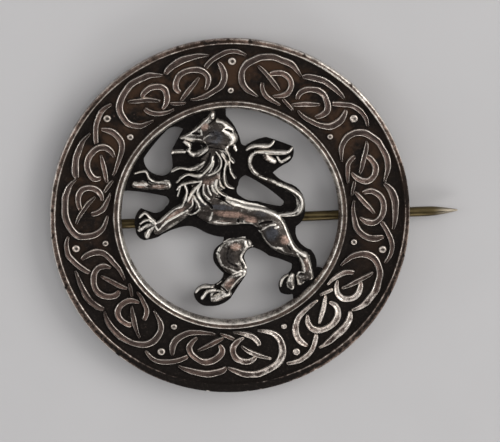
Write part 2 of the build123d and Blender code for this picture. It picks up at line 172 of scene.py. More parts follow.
# The lion's limbs, which melt into each other: x, y, half width and crest in hundredths of the relief.
LIMBS = {
    "neck": [(-11, 62, 11, 74), (-15, 50, 12.5, 72), (-19, 36, 15, 76), (-22, 22, 15, 74), (-23, 10, 12.5, 70)],
    "head": [(-39, 73, 3.5, 52), (-30, 75.5, 7.5, 72), (-20, 78, 11.5, 90), (-10, 77, 12.5, 96), (-1, 72.5, 8, 84)],
    "barrel": [(-24, 4, 8.5, 62), (-14, 3, 12.5, 78), (-2, 2, 12.5, 80), (10, 0.5, 10, 76), (22, -1, 9.3, 76),
               (34, -5, 11, 80)],
    "haunch": [(37, -6, 11, 80), (42, -18, 12.5, 92), (48.5, -27, 9.8, 86), (58, -34.5, 5.2, 68), (68, -39, 4.6, 60)],
    "near_arm": [(-28, 16, 7, 78), (-37, 9, 7.4, 80), (-47, 1.5, 7.4, 74), (-57, -5.5, 7, 68), (-67, -12.5, 6, 62)],
    "far_thigh": [(16, -27.5, 4.5, 46), (9, -29, 7, 66), (1, -34, 10, 78), (-0.5, -42, 10.5, 76), (4, -50, 8, 66),
                  (11, -55, 4.6, 60)],
    "near_shank": [(67, -39, 5, 60), (70, -48, 5, 54), (71.5, -56, 5.2, 54), (74.5, -60, 2.6, 42)],
    "far_shank": [(12, -54, 4, 60), (4, -61.5, 5.6, 60), (-4, -69.5, 5, 58)],
    "far_arm": [(-58, 28, 4.2, 44), (-66, 28, 4.4, 50), (-76, 28, 4.2, 50), (-88, 28.5, 3, 38)],
}
# The parts that lie on the limbs or stand apart from them.
PARTS = {
    "forelock": [(-33, 79.5, 3, 56), (-24, 85, 5.5, 72), (-18, 91.5, 3.8, 66), (-16, 96, 2.2, 58)],
    "nape": [(-12, 88.5, 3.2, 60), (-5, 85, 3.6, 66), (1.5, 80, 2.4, 54)],
    "tail": [(45, 0, 2.2, 56), (55, 0.5, 3, 60), (62, 2.5, 3.4, 62), (65.5, 9, 3.4, 62), (63.5, 17, 3.4, 60),
             (54, 24.5, 3.2, 56), (42, 29.5, 3, 50), (30, 34.5, 2.9, 46), (21.5, 40.5, 2.8, 46),
             (17.8, 48.5, 2.6, 46), (19.5, 56, 2.6, 48), (25, 59.5, 2.4, 54)],
    "tuft_top": [(15, 61.5, 1.8, 44), (22, 64.8, 3, 54), (35, 65, 2.6, 52), (40, 69.5, 1.2, 34)],
    "tuft_middle": [(23, 59.3, 2.4, 54), (38, 59, 3.1, 58), (52, 59, 2.7, 52), (57, 63.5, 1.2, 32)],
    "tuft_low": [(30.5, 57, 2.6, 48), (34, 53.5, 4, 52), (40, 50.4, 3.2, 42)],
    "tuft_end": [(43, 54.5, 1.4, 36), (46.5, 50, 2, 40), (54, 54, 1.6, 30)],
    "chin_lock": [(-24, 51, 1.8, 74), (-30, 45.5, 2.8, 64), (-38, 43.5, 2.2, 54), (-46, 44.6, 1.5, 46),
                  (-54, 41, 1, 34)],
    "cheek_lock": [(-17, 55, 1.6, 80), (-18, 48, 2.6, 86), (-24, 41, 2.8, 86), (-31, 37.5, 2.2, 74),
                   (-40, 38.5, 1.6, 56), (-49, 31, 1.1, 36)],
    "throat_lock": [(-27, 33, 2.4, 84), (-38, 30.8, 1.8, 62), (-45, 28.6, 1.8, 46), (-49, 24, 1.1, 36)],
    "breast_lock": [(-42, 29, 1.8, 56), (-39.8, 22, 2, 62), (-42.5, 13, 2.2, 66)],
    "fore_lock": [(-46, 27.5, 1.4, 44), (-48.5, 18, 1, 34)],
    "shoulder_lock": [(-27, 32, 2.8, 88), (-34, 23, 3, 84), (-39, 14, 3, 80)],
    "chest_lock": [(-27.5, 30, 1.8, 88), (-30.5, 22, 2.2, 86), (-28, 15.5, 2.2, 82), (-23, 11, 1.5, 74)],
    "elbow": [(-29.5, 12, 2.2, 70), (-28.5, 7, 2.4, 66), (-31.5, 3, 2.4, 58), (-36.5, 1, 1.8, 46)],
    "middle_lock": [(-24.5, 30, 1.4, 88), (-24.5, 22, 1.7, 84), (-19, 16, 1.2, 76)],
    "second_lock": [(-21, 29, 1.3, 88), (-20, 24.5, 1.5, 86), (-17.5, 19.5, 1, 78)],
    "third_lock": [(-17, 28, 1.3, 90), (-15.5, 24, 1.5, 88), (-12, 20.5, 1.1, 80)],
    "back_lock": [(-12.5, 34, 1.7, 92), (-13.2, 27, 2, 90), (-9.5, 21.5, 1.6, 84), (-4, 18.5, 1.2, 76)],
    "side_lock": [(-9.8, 33, 1.3, 90), (-8.8, 28.5, 1.5, 84), (-5.5, 25.6, 1, 66)],
    "long_lock": [(-8.5, 57.5, 1.6, 86), (-4.6, 51, 1.9, 88), (-5.8, 43, 1.7, 86), (-5.8, 35, 1.9, 82),
                  (-3.2, 28, 1.9, 66), (3, 25, 1, 42)],
    "nape_lock": [(-4.5, 62.5, 1.6, 74), (-1.5, 57, 1.5, 66), (-0.5, 53, 1.2, 56)],
    "nape_drop": [(-0.5, 52.5, 1.5, 58), (2.6, 49.5, 1.6, 50)],
    "outer_lock": [(-1.4, 51, 1.3, 62), (-0.6, 43, 1.6, 60), (3.8, 34.8, 1.5, 42)],
    "inner_lock": [(-13.5, 60.5, 1.4, 90), (-9, 53, 1.8, 92), (-9.2, 46, 1.8, 92), (-13.5, 41.2, 1.8, 90),
                   (-20, 38.5, 1.6, 86)],
    "nose": [(-34, 72.4, 4.5, 62), (-40, 72.8, 3.2, 58), (-45, 72.8, 1.8, 46)],
    "upper_lip": [(-42, 69.5, 2.4, 50), (-38, 66, 3, 60), (-38, 62, 2.2, 50)],
    "jaw": [(-22, 62, 3, 62), (-28, 58.5, 3.4, 62), (-35, 57.5, 2.8, 56), (-39, 60.6, 1.8, 48)],
    "tongue": [(-42, 59.6, 1.7, 34), (-54, 59, 2.1, 40)],
    "paw_toe_a": [(-67, -10, 3, 58), (-73, -13.5, 3, 54), (-76.4, -20, 2.6, 42)],
    "paw_toe_b": [(-69, -8.5, 3, 54), (-77.6, -10.5, 2.8, 50), (-83.4, -14.4, 1.9, 36)],
    "paw_toe_c": [(-70, -6, 2.4, 52), (-77, -4.6, 2.2, 46), (-82.5, -8, 1.6, 34)],
    "paw_toe_d": [(-69, -7, 2.2, 52), (-74.5, -1.5, 2, 50), (-78.5, 2.2, 1.8, 46), (-83, -2, 1.5, 34)],
    "far_paw": [(-71, 32.4, 1.6, 44), (-74.8, 35, 1.7, 46), (-77.5, 41, 1.7, 46), (-82, 41.2, 1.5, 40),
                (-88, 39.4, 1.1, 34)],
    "near_foot": [(71, -58.4, 4.4, 52), (66, -60, 4, 54), (64.5, -65.5, 2.6, 42)],
    "near_toe": [(57.5, -57.4, 2.2, 40), (56, -63, 3.4, 52), (57.4, -69.5, 2.6, 40)],
    "near_back_toe": [(53, -57.5, 1.5, 34), (48.6, -61.5, 1.7, 38), (47, -68, 1.2, 34)],
    "far_foot": [(-1, -75, 3.2, 60), (-8, -77.2, 4.4, 62), (-14.5, -80, 3.8, 50)],
    "far_toe": [(-14, -71, 2.4, 52), (-21, -72.8, 2.5, 52), (-25.4, -79, 2.3, 42)],
    "far_back_toe": [(-16, -68.2, 1.8, 46), (-26, -68.6, 1.9, 46), (-31.2, -73.4, 1.4, 34)],
}
# Bright lines along the figure's edges, partly worn silver and partly painted highlight: the lift in hundredths
# of the relief, the wear and highlight, then points of x, y and half width.
EDGES = [
    Line(7, 0.8, [(-46, 73, 0.9), (-38, 77, 0.9), (-32, 81, 0.8), (-26, 87, 0.9), (-21.5, 91.5, 1), (-18.5, 96, 1.1),
                  (-16.5, 97, 1.2)]),
    Line(5, 1.0, [(-17.2, 96.5, 1.6), (-16, 94, 1.6), (-16, 92, 1)]),
    Line(4, 0.55, [(-45, 72.8, 1.1), (-36, 72.8, 1), (-30, 72.2, 0.9), (-26, 71.4, 1), (-22.6, 67.3, 1.1),
                   (-21, 64.6, 1), (-22, 60.8, 0.9)]),
    Line(3, 0.5, [(-25, 72.6, 0.8), (-22.5, 75.2, 0.9), (-19.5, 76.5, 0.9), (-16.5, 75.2, 0.8), (-14.8, 73, 0.7)]),
    Line(6, 0.95, [(-44, 68.4, 1), (-40.5, 67.6, 1.3), (-37.6, 65.5, 1.4), (-37.6, 61.8, 1.3)]),
    Line(6, 1.0, [(-40.6, 61.2, 1.2), (-37, 60.4, 1.9), (-34.8, 57.2, 1.8), (-34, 54, 1.2)]),
    Line(4, 0.6, [(-34, 53.8, 0.9), (-29, 56.2, 0.9), (-24.4, 59.6, 1), (-22, 61.6, 0.9)]),
    Line(3, 0.42, [(-36, 67, 0.8), (-31, 67.4, 0.8), (-27.4, 65.8, 0.8), (-25.8, 63.4, 0.8), (-28, 61.4, 0.8),
                   (-33, 61.2, 0.8)]),
    Line(4, 1.0, [(-53.9, 60.4, 1.4), (-53.9, 58.2, 1.4)]),
    Line(3, 0.6, [(-53, 60.9, 0.8), (-43, 61.1, 0.8)]),
    Line(4, 0.7, [(-27.4, 80.8, 0.9), (-26.6, 77, 0.9)]),
    Line(6, 0.95, [(-13, 88.7, 0.9), (-8.4, 88.2, 1.6), (-5.6, 86, 1.5), (-2, 84, 1.7), (2.4, 81.4, 0.9)]),
    Line(6, 0.95, [(-8, 80.6, 0.9), (-5, 79, 1.6), (0, 76.6, 2.1), (3.4, 74, 1.6)]),
    Line(4, 0.7, [(-7.6, 80.8, 0.8), (-4, 83.4, 0.9)]),
    Line(8, 1.0, [(-1, 76.4, 1.3), (1.2, 72, 2.7), (1.6, 67.4, 3), (3.8, 63, 2), (5.2, 60.4, 0.9)]),
    Line(4, 0.85, [(1, 68, 2.2), (-3, 64.4, 1)]),
    Line(6, 1.0, [(-4.4, 63, 1), (-3.4, 60.6, 1.3), (-1.8, 57.6, 1.5), (-0.9, 54.4, 0.9)]),
    Line(6, 1.0, [(0.2, 53.2, 1.5), (3, 50.2, 1.8)]),
    Line(7, 1.0, [(-0.9, 50.4, 0.8), (-0.4, 44, 1.3), (1.2, 38.6, 1.8), (4.8, 34.6, 1.2)]),
    Line(7, 1.0, [(-8.4, 58, 0.9), (-5, 54.4, 1.3), (-3.4, 50.4, 1.7), (-4, 44.6, 1.8), (-5.4, 37.4, 1.9),
                  (-4.7, 30.6, 2.2), (-1.4, 26.2, 2), (3, 24.8, 0.8)]),
    Line(4, 0.6, [(-13.4, 60.6, 0.7), (-10, 56.6, 0.8), (-8.5, 50.6, 0.8), (-10, 44.8, 0.8), (-14, 41.6, 0.9),
                  (-20, 38.8, 0.8)]),
    Line(5, 0.8, [(-16.4, 56, 0.7), (-17, 50, 1), (-20, 45.7, 1.1), (-24, 40.8, 1), (-28, 37.2, 1), (-33, 36.2, 0.9),
                  (-38, 38.2, 0.9), (-43, 37.6, 0.9), (-47, 33.8, 0.8), (-49.5, 30.4, 0.7)]),
    Line(4, 0.75, [(-15.6, 52, 0.9), (-16.2, 47.6, 1), (-19.6, 41.6, 0.8)]),
    Line(4, 0.55, [(-54.4, 40.8, 0.8), (-51, 44.2, 0.9), (-44, 44.6, 0.8), (-38, 43.7, 0.8), (-33, 45.8, 0.9),
                   (-29.6, 48.2, 0.8)]),
    Line(4, 0.6, [(-38, 42.4, 0.8), (-32, 42.8, 0.9), (-27, 45.2, 0.9), (-24, 50.6, 0.8)]),
    Line(4, 0.6, [(-27, 32.8, 0.9), (-30.4, 31.4, 0.9), (-38, 30.5, 0.9), (-43.4, 29, 0.9)]),
    Line(3, 0.5, [(-43, 29, 0.9), (-48, 26.7, 0.8), (-49, 23.7, 0.7)]),
    Line(4, 0.65, [(-46, 27.7, 0.8), (-46.6, 22.7, 0.8), (-48.2, 17.7, 0.8)]),
    Line(6, 0.85, [(-43, 28.7, 0.8), (-40.6, 24.7, 0.9), (-40.2, 18.7, 1), (-42, 13.7, 1.1), (-45, 8.6, 1.1)]),
    Line(3, 0.5, [(-41, 28.4, 0.7), (-39, 22.6, 0.7), (-38.6, 17.6, 0.7)]),
    Line(5, 0.75, [(-27, 31.7, 0.9), (-33, 24.7, 1), (-37, 18.7, 0.9), (-38.4, 15, 0.8)]),
    Line(6, 0.85, [(-27.2, 30.2, 0.8), (-30, 25.6, 0.9), (-30, 20.7, 1), (-27, 15.7, 1.1), (-23, 11.2, 1)]),
    Line(4, 0.7, [(-35, 20.6, 0.8), (-31.6, 15, 1), (-29.2, 10.8, 1)]),
    Line(4, 0.6, [(-35.2, 17.6, 0.7), (-34.8, 11, 0.8), (-38, 7.6, 0.8)]),
    Line(5, 0.65, [(-29, 9.6, 1.1), (-28.2, 6.6, 1.3), (-31, 3.6, 1.3), (-36, 0.8, 1.1), (-38.2, 1.6, 0.8)]),
    Line(5, 0.8, [(-25.4, 29.6, 0.9), (-25.2, 22.6, 1.2), (-22.4, 17.8, 1.3), (-19, 16, 0.9)]),
    Line(5, 0.85, [(-21.2, 28.6, 0.9), (-20.4, 24.6, 1.3), (-17.8, 19.8, 1)]),
    Line(5, 0.95, [(-17, 28.6, 1), (-15.8, 24.2, 1.4), (-12, 20.6, 1)]),
    Line(6, 1.0, [(-13, 33.4, 1.3), (-13.4, 27.6, 1.8), (-11, 22.8, 1.9), (-6, 19.6, 1.1)]),
    Line(5, 0.8, [(-10, 32.6, 1.1), (-9.2, 28.6, 1.4), (-5.4, 25.8, 0.9)]),
    Line(9, 1.0, [(-8, 19.4, 1.4), (-2, 15.4, 2.4), (6, 11.8, 2.9), (16, 8.7, 2.6), (28, 6.6, 2.3), (38, 2.6, 2),
                  (45, -1.6, 1.8), (50, -8.2, 1.6), (53, -16.4, 1.4), (57, -25.4, 1.5), (61, -32.2, 1.8),
                  (68, -37.7, 1.8), (73, -39.4, 1.2)]),
    Line(6, 1.0, [(46, -1.8, 1.2), (50, -1.6, 1.4), (57, -1.2, 1.6), (62.4, -0.2, 1.7), (65.4, 3, 1.8),
                  (66.6, 8.8, 1.9), (66, 14.6, 1.9), (62.8, 19.4, 1.6), (57, 23.4, 1.5),
                  (50, 26.5, 1.3), (43, 28.7, 1)]),
    Line(4, 0.75, [(45, 0, 0.9), (52, 1.4, 0.9), (58, 2.4, 1), (61.4, 5.8, 1.1), (62, 10.6, 1), (60.4, 15.6, 0.9),
                   (56, 19.2, 0.8), (50, 22, 0.7)]),
    Line(3, 0.5, [(33, 33.8, 0.8), (25, 36.8, 0.8), (19.6, 40.7, 0.8), (17.6, 46.6, 0.9), (17.3, 52.6, 0.9),
                  (19.4, 57, 0.9), (23, 59.3, 0.9)]),
    Line(5, 0.85, [(14.4, 61.2, 0.7), (18, 64.2, 1), (25, 65.7, 1.3), (33, 64.8, 1.4), (37, 65.4, 1.4),
                   (39.5, 68.8, 0.9), (40.4, 71, 0.7)]),
    Line(3, 0.5, [(24, 62.4, 0.9), (29, 63.2, 1), (35, 62.4, 0.8)]),
    Line(5, 0.95, [(22.6, 59.4, 0.9), (30, 60.2, 1), (40, 59.8, 1.1), (50, 59.6, 1.4), (54, 59.8, 1.3),
                   (56.8, 62.8, 0.9), (58, 64.6, 0.7)]),
    Line(3, 0.55, [(33, 57.4, 1), (42, 57, 1.6), (50, 56.6, 1.4)]),
    Line(4, 0.55, [(32.4, 58, 0.9), (34.4, 55.2, 1), (36, 52.8, 1.2), (40, 50.6, 1.2), (41, 48.8, 1)]),
    Line(3, 0.5, [(41.4, 55.8, 0.8), (44, 52.6, 0.8), (45, 49.2, 0.8)]),
    Line(3, 0.4, [(45.4, 48.8, 0.8), (51, 50, 0.8), (55.4, 55.6, 0.8)]),
    Line(4, 0.9, [(-16.6, 3.2, 1), (-17.8, -1.2, 1.4), (-19.2, -4.6, 1.2)]),
    Line(4, 0.7, [(12, -7.4, 0.8), (20, -8, 1.1), (24, -11.2, 1.1), (26.6, -15.6, 1.1)]),
    Line(6, 0.95, [(27, -15.4, 1.3), (29.8, -19.4, 1.8), (33.4, -25, 1.8), (38.2, -29.8, 1.8), (42.4, -31.2, 1.5)]),
    Line(5, 0.7, [(27.6, -15.8, 1.1), (32, -11.8, 1.3), (37, -8.8, 1.2), (41.4, -8.4, 1)]),
    Line(5, 1.0, [(44, -29.8, 1.9), (47, -31, 2.1), (49, -33, 1.2)]),
    Line(4, 0.7, [(49, -34.4, 1), (53, -35.6, 1.1), (57.4, -35.6, 1)]),
    Line(3, 0.6, [(41, -11.4, 1.2), (44, -10.6, 1)]),
    Line(5, 0.9, [(61.6, -36.4, 1), (66, -43, 1.3), (68, -49, 1.3), (69, -53.6, 1)]),
    Line(6, 1.0, [(72, -38.6, 1), (74.2, -47, 1), (75.8, -54.4, 1), (77.4, -60.4, 0.9)]),
    Line(5, 0.85, [(77, -60.6, 0.9), (70.4, -63, 1), (66, -66.4, 1), (63, -63.6, 1), (62, -59, 0.9), (64.6, -55, 0.9),
                   (68.6, -54.6, 0.8)]),
    Line(5, 0.9, [(58, -56.8, 0.9), (54.2, -59.4, 1), (53, -65, 1), (54.8, -69.8, 1.1), (58.8, -70.4, 1),
                  (59.2, -64, 0.8), (58.8, -57.4, 0.7)]),
    Line(3, 0.6, [(55, -55.4, 0.8), (50, -58.4, 0.9), (47, -63.4, 0.9), (46.6, -68.6, 0.8)]),
    Line(6, 0.75, [(13, -21.8, 1.2), (8, -22.8, 1.4), (-2, -24.4, 1.5), (-6.4, -27.2, 1.5), (-10, -32.4, 1.5),
                   (-12, -36.8, 1.5)]),
    Line(6, 1.0, [(-11.2, -37, 1.5), (-10, -42, 2.1), (-7.6, -47, 1.8)]),
    Line(4, 0.65, [(-5, -48.6, 1), (2, -51.6, 1), (6, -53.4, 0.9)]),
    Line(7, 1.0, [(13.4, -22, 1.2), (14.4, -27.6, 1.7), (15.4, -31.4, 1.9), (11.8, -36.4, 1.6), (10.4, -41.4, 1.4),
                  (13.4, -47.2, 1.5), (14.8, -52.2, 1.8), (13.6, -56.2, 1.6)]),
    Line(4, 0.7, [(16, -30.4, 1), (21, -29.9, 0.8)]),
    Line(4, 0.8, [(2.4, -55.6, 1), (6, -54, 1.1), (10, -52.6, 1)]),
    Line(4, 0.8, [(6, -57, 1), (10, -55.4, 1.1)]),
    Line(5, 0.8, [(13.6, -56.6, 1), (9, -59.4, 1), (4.4, -64.4, 1), (1, -70.4, 1), (-1, -75, 1.2), (-6, -76.6, 1.2)]),
    Line(3, 0.5, [(2, -56.4, 0.9), (-4, -60.4, 0.9), (-9, -64.4, 0.9), (-11.4, -66.4, 0.8)]),
    Line(5, 0.85, [(-4.4, -74.6, 1), (-9, -72.6, 1), (-14, -73, 1.1), (-17, -76.4, 1.1), (-16.8, -82, 1)]),
    Line(4, 0.7, [(-16.4, -70.6, 0.9), (-21, -72.2, 1), (-24, -77.4, 1), (-26.6, -80, 0.9)]),
    Line(3, 0.5, [(-21, -70.2, 0.7), (-22.6, -74, 0.7)]),
    Line(4, 0.65, [(-14.6, -67, 0.9), (-23, -66.6, 1), (-29, -68.2, 1), (-31.6, -73, 0.9)]),
    Line(6, 0.9, [(-45, 8.6, 1.1), (-50, 7.2, 1), (-56, 2.8, 1), (-62, -3, 1), (-67, -6.7, 1), (-70.6, -7.2, 1),
                  (-74, -4.2, 1), (-76, -0.4, 1), (-78.6, 2.2, 1), (-82, 0.6, 0.9), (-84, -2.8, 0.8)]),
    Line(7, 1.0, [(-39.6, 5.6, 1), (-45, 2.8, 1.1), (-52, -1.4, 1.2), (-58, -4.8, 1.2), (-62, -9, 1.1),
                  (-66.6, -13.4, 1), (-68.4, -10.4, 0.9)]),
    Line(4, 0.7, [(-75, -3.8, 0.9), (-80, -5.4, 0.9), (-83, -10, 0.9), (-84.4, -14.4, 0.9)]),
    Line(5, 0.9, [(-69, -9.4, 1), (-74, -12.4, 1.2), (-77, -15.4, 1.3), (-78, -19, 1.1), (-77, -21.4, 0.8)]),
    Line(3, 0.5, [(-72, -7.4, 0.8), (-77, -8.6, 0.8), (-81.4, -13.6, 0.7)]),
    Line(4, 0.7, [(-55.6, 27, 0.8), (-56, 30.7, 0.8), (-58.4, 32.2, 0.9), (-66, 31.7, 0.9), (-71, 32.3, 0.9),
                  (-74, 34.2, 0.9), (-76, 38.2, 0.9), (-78, 41.7, 0.9), (-82, 41.2, 0.8), (-87, 39.7, 0.7)]),
    Line(3, 0.6, [(-58.6, 27.4, 0.9), (-66, 27, 1), (-71, 27.8, 0.9)]),
    Line(3, 0.4, [(-57.6, 24.4, 0.8), (-66, 24.8, 0.8)]),
    Line(4, 0.9, [(-87.6, 28.8, 0.9), (-83, 29.2, 1), (-80, 28.8, 1), (-76, 26.4, 0.9)]),
    Line(3, 0.45, [(-88, 31.6, 0.8), (-80, 32.2, 0.8), (-77, 28.6, 0.8)]),
]
# Cut or sunk places, blackened as soot and painted shade: the depth in hundredths of the relief, the soot and shade
# in it, then points of x, y and half width.
HOLLOWS = [
    Line(16, 0.9, [(-35, 77.6, 1.6), (-31, 77.6, 2.4), (-29, 77, 1.6)]),
    Line(18, 1.0, [(-34.5, 64.6, 1.6), (-31, 64.4, 2.2), (-28, 63.6, 1.4)]),
    Line(10, 0.9, [(-41, 64.6, 1.2), (-36, 64, 1.2)]),
    Line(6, 0.7, [(-24, 73.6, 1.2), (-20, 79, 1), (-16, 79.4, 1)]),
    Line(8, 0.6, [(-20, 64.5, 1.2), (-12, 63.6, 1.4), (-6, 62, 1.2)]),
    Line(14, 0.9, [(-6, 82, 0.8), (-2, 80.6, 1.5), (1, 78.6, 1)]),
    Line(16, 1.0, [(-34, 14.6, 1.1), (-33, 10, 2), (-34, 5.6, 2.4), (-36, 4, 1.4)]),
    Line(18, 1.0, [(-26.6, 28, 1.2), (-27, 21, 1.8), (-24.6, 15.6, 1.8), (-20, 11.6, 2.2), (-17, 8, 2)]),
    Line(12, 1.0, [(-37, 28, 1.4), (-36.4, 24.6, 1.8), (-38, 21, 1)]),
    Line(12, 1.0, [(-46, 33.6, 1.6), (-38, 34.2, 1.6), (-30, 33.8, 1.2)]),
    Line(10, 0.9, [(-43, 40.8, 1.2), (-34, 40.2, 1.4), (-26, 40.6, 1)]),
    Line(12, 1.0, [(-19, 58, 2), (-20.6, 52, 2.6), (-24, 46.6, 2), (-29, 41.4, 1.6)]),
    Line(14, 1.0, [(-14, 56.6, 2.2), (-13, 49.4, 3), (-16, 43.8, 2.2)]),
    Line(14, 1.0, [(-7.4, 54, 0.9), (-6.8, 47, 1.2), (-8.4, 40, 1.4), (-9, 35, 1)]),
    Line(14, 1.0, [(-1.8, 48.6, 1), (-1.6, 41, 1.4), (-1.6, 34, 1.4), (1.2, 29.4, 1.2)]),
    Line(12, 0.9, [(-6.6, 60, 0.8), (-3, 54, 0.8), (-2.8, 50, 0.8)]),
    Line(8, 0.7, [(-22.6, 27, 0.7), (-21.8, 21.6, 0.8)]),
    Line(8, 0.7, [(-18.8, 27, 0.7), (-18, 22.6, 0.7)]),
    Line(8, 0.8, [(-11.4, 30, 0.7), (-11, 25.6, 0.8), (-7, 22.6, 0.8)]),
    Line(10, 0.8, [(-14, 17.6, 1.2), (-8, 15, 1.2), (-2, 11.4, 1)]),
    Line(20, 1.0, [(7, -3.6, 1.5), (7.4, -6.4, 1.4)]),
    Line(10, 0.8, [(10.6, -4.6, 0.8), (11, -7, 0.7)]),
    Line(6, 0.6, [(-12, -5.4, 0.8), (-6, -6.4, 0.8), (0, -5.4, 0.7)]),
    Line(12, 0.8, [(27, -8, 2), (32, -6.2, 2.6), (38, -5.4, 1.6)]),
    Line(8, 0.6, [(31, -20, 1), (35, -25, 1)]),
    Line(12, 0.8, [(52.6, -28, 1.2), (55.6, -32.6, 1.4)]),
    Line(8, 0.5, [(-1, -30, 3), (-3, -37, 3.4), (-1, -44, 3.2), (6, -48, 2.6)]),
    Line(12, 0.9, [(-13, -69.4, 1), (-8, -68, 1.6), (-3, -72, 1)]),
    Line(24, 1.0, [(-18.6, -74.6, 1.1), (-20.4, -79, 1.5), (-20, -84, 1.4)]),
    Line(24, 1.0, [(-25.6, -72.6, 0.9), (-28.6, -75.4, 1.3), (-29.6, -79.6, 1.1)]),
    Line(20, 1.0, [(-70.4, -13, 0.8), (-71, -17, 1.4), (-70.4, -21, 1.4)]),
    Line(20, 1.0, [(-79.4, -14.4, 0.8), (-81, -18, 1.8), (-80.6, -22.4, 1.8)]),
    Line(14, 1.0, [(-79, -2.6, 0.8), (-81.4, -4.4, 0.9)]),
    Line(12, 0.9, [(51.4, -60.6, 0.9), (50.6, -66, 1.2), (51, -71, 1.1)]),
    Line(8, 0.6, [(48, 20.6, 0.8), (56, 18, 0.9), (60, 11.6, 0.9), (60, 6, 0.8)]),
    Line(6, 0.6, [(64, 4.6, 0.8), (64.4, 10.4, 0.9), (62.4, 16, 0.9), (56, 21.4, 0.8), (48, 25, 0.8)]),
    Line(8, 0.8, [(26, 62, 0.7), (33, 62, 0.8), (38, 62.6, 0.8)]),
    Line(6, 0.6, [(-60, 29.6, 0.8), (-70, 29.8, 0.9)]),
    Line(8, 0.8, [(-73, 29.6, 1), (-76, 31, 1), (-77, 35, 0.9)]),
]
# Patches where the silver has a pink bloom (over 0) or a dark blue one (under 0); the dark blue on the middles of
# rounded parts, such as the haunch, far thigh and head, is partly a painted dark reflection.
BLOOMS_AND_DARK_REFLECTIONS = [
    Patch(0, 1.6, 18, 3.6, -6, 1.0), Patch(19, -3.6, 7, 4, -14, 0.9), Patch(-8, -7, 13, 3.2, 3, 0.5),
    Patch(-24, 84, 4.5, 3.6, 50, 0.9), Patch(-52, 1, 15, 2.6, 35, 0.9), Patch(-36, 16, 5, 3, 60, 0.8),
    Patch(5, -29.5, 6, 4, 0, 0.9), Patch(50, -23, 6, 5, -50, 0.8), Patch(70, -47, 4, 8, 0, 0.5),
    Patch(-1, -64, 5, 7, -40, 0.9), Patch(-66, 27.6, 9, 2.2, 0, 0.6), Patch(35, 53.5, 6, 3.4, -28, 0.6),
    Patch(-82, 29, 6, 3, 0, 1.2),
    Patch(-22, 31, 7, 5, 20, 0.5), Patch(-12, 36, 8, 3, 20, 0.6), Patch(-40, 69, 4, 5, 0, 0.6),
    Patch(30, 61, 8, 3, 0, 0.6), Patch(45, -37, 9, 2.4, -10, 0.6), Patch(-10, -79, 6, 3, 0, 0.5),
    Patch(-14, 74, 9, 9, 0, -0.7), Patch(38, -17, 7, 8, 0, -1.1), Patch(-8, 8, 12, 3, -6, -0.8),
    Patch(-1, -40, 7, 9, 0, -0.25), Patch(28, 1.6, 7, 3, -10, -0.5), Patch(-24, 12, 5, 4, 0, -0.6),
]
# Patches that are worn barer or left darker than their shape alone gives; the darker ones on the middles of rounded
# parts, such as the haunch, far thigh and head, are painted dark reflection.
RUBBED_AND_DARK_REFLECTIONS = [
    Patch(-12, -7.6, 12, 2.8, 0, 0.36), Patch(4, -7.4, 14, 1.8, -2, 0.3), Patch(-52, -9.5, 14, 3, 36, 0.30),
    Patch(46, -37.4, 11, 2.4, -8, 0.3), Patch(64, 8, 4.4, 9, 0, 0.16),
    Patch(-39, 70, 5, 3.4, 0, 0.34), Patch(-76, -18.6, 2.4, 3.6, 0, 0.34), Patch(38.6, 49.6, 3.4, 2.2, 0, 0.4),
    Patch(-10, -80, 6, 3, 0, 0.22), Patch(22, 11, 20, 1.8, -7, 0.3), Patch(44, 57.4, 8, 1.6, 0, 0.22),
    Patch(-36, 57.6, 3, 2.4, 0, 0.3), Patch(42, -11, 3, 2.4, 0, 0.2), Patch(5, -56.5, 5, 2.6, 20, 0.25),
    Patch(-12, 30, 8, 12, 8, 0.22), Patch(-31, 20, 7, 9, 25, 0.2), Patch(-12, -76, 9, 5, 0, 0.2),
    Patch(-67, 28, 11, 4, 0, -0.14), Patch(35, 53.5, 6, 3.4, -28, 0.2), Patch(-14, 72, 10, 10, 0, -0.16),
    Patch(38, -18, 8, 9, 0, -0.3), Patch(-2, -39, 9, 10, 0, -0.3), Patch(-10, 8.4, 12, 3, -8, -0.3),
    Patch(28, 0, 8, 4, -10, -0.2), Patch(30, 33, 12, 4, -25, -0.35),
]


def smooth_step(share: np.ndarray) -> np.ndarray:
    """0 at 0 and under, 1 at 1 and over, with level ends."""
    held = np.clip(share, 0, 1)
    return held * held * (3 - 2 * held)


class Crown(Enum):
    """The cross-section of a raised part: the powers of its share and of its height, or none for a bead."""

    LIMB = (2.6, 0.62)
    PART = (2.0, 0.75)
    BEAD = ()

    def height(self, share: np.ndarray) -> np.ndarray:
        """The height at a share of the half width from the middle line.

        Args:
            share: Distance from the middle line over the half width.

        Returns:
            The height over the crest, 1 on the middle line and 0 from the edge on.
        """
        if self is Crown.BEAD:
            return 1 - smooth_step(share)
        power, roundness = self.value
        return np.clip(1 - np.clip(share, 0, 1) ** power, 0, 1) ** roundness


@dataclass(frozen=True)
class Setting:
    """Where the plate is in the frame, from its CAD box."""

    centre_x: float
    centre_y: float
    unit: float

    @classmethod
    def from_box(cls, box: tuple, radius: float) -> "Setting":
        """The setting of a plate of that radius in its own millimetres, from its lowest and highest corner."""
        low, high = box
        unit = (high[0] - low[0]) / 2 / radius
        return cls((low[0] + high[0]) / 2, high[1] - radius * unit, unit)

    def place(self, points: np.ndarray) -> np.ndarray:
        """Points in the brooch's millimetres as metres in the frame."""
        return np.asarray(points, float) * self.unit + np.array([self.centre_x, self.centre_y, 0.0])


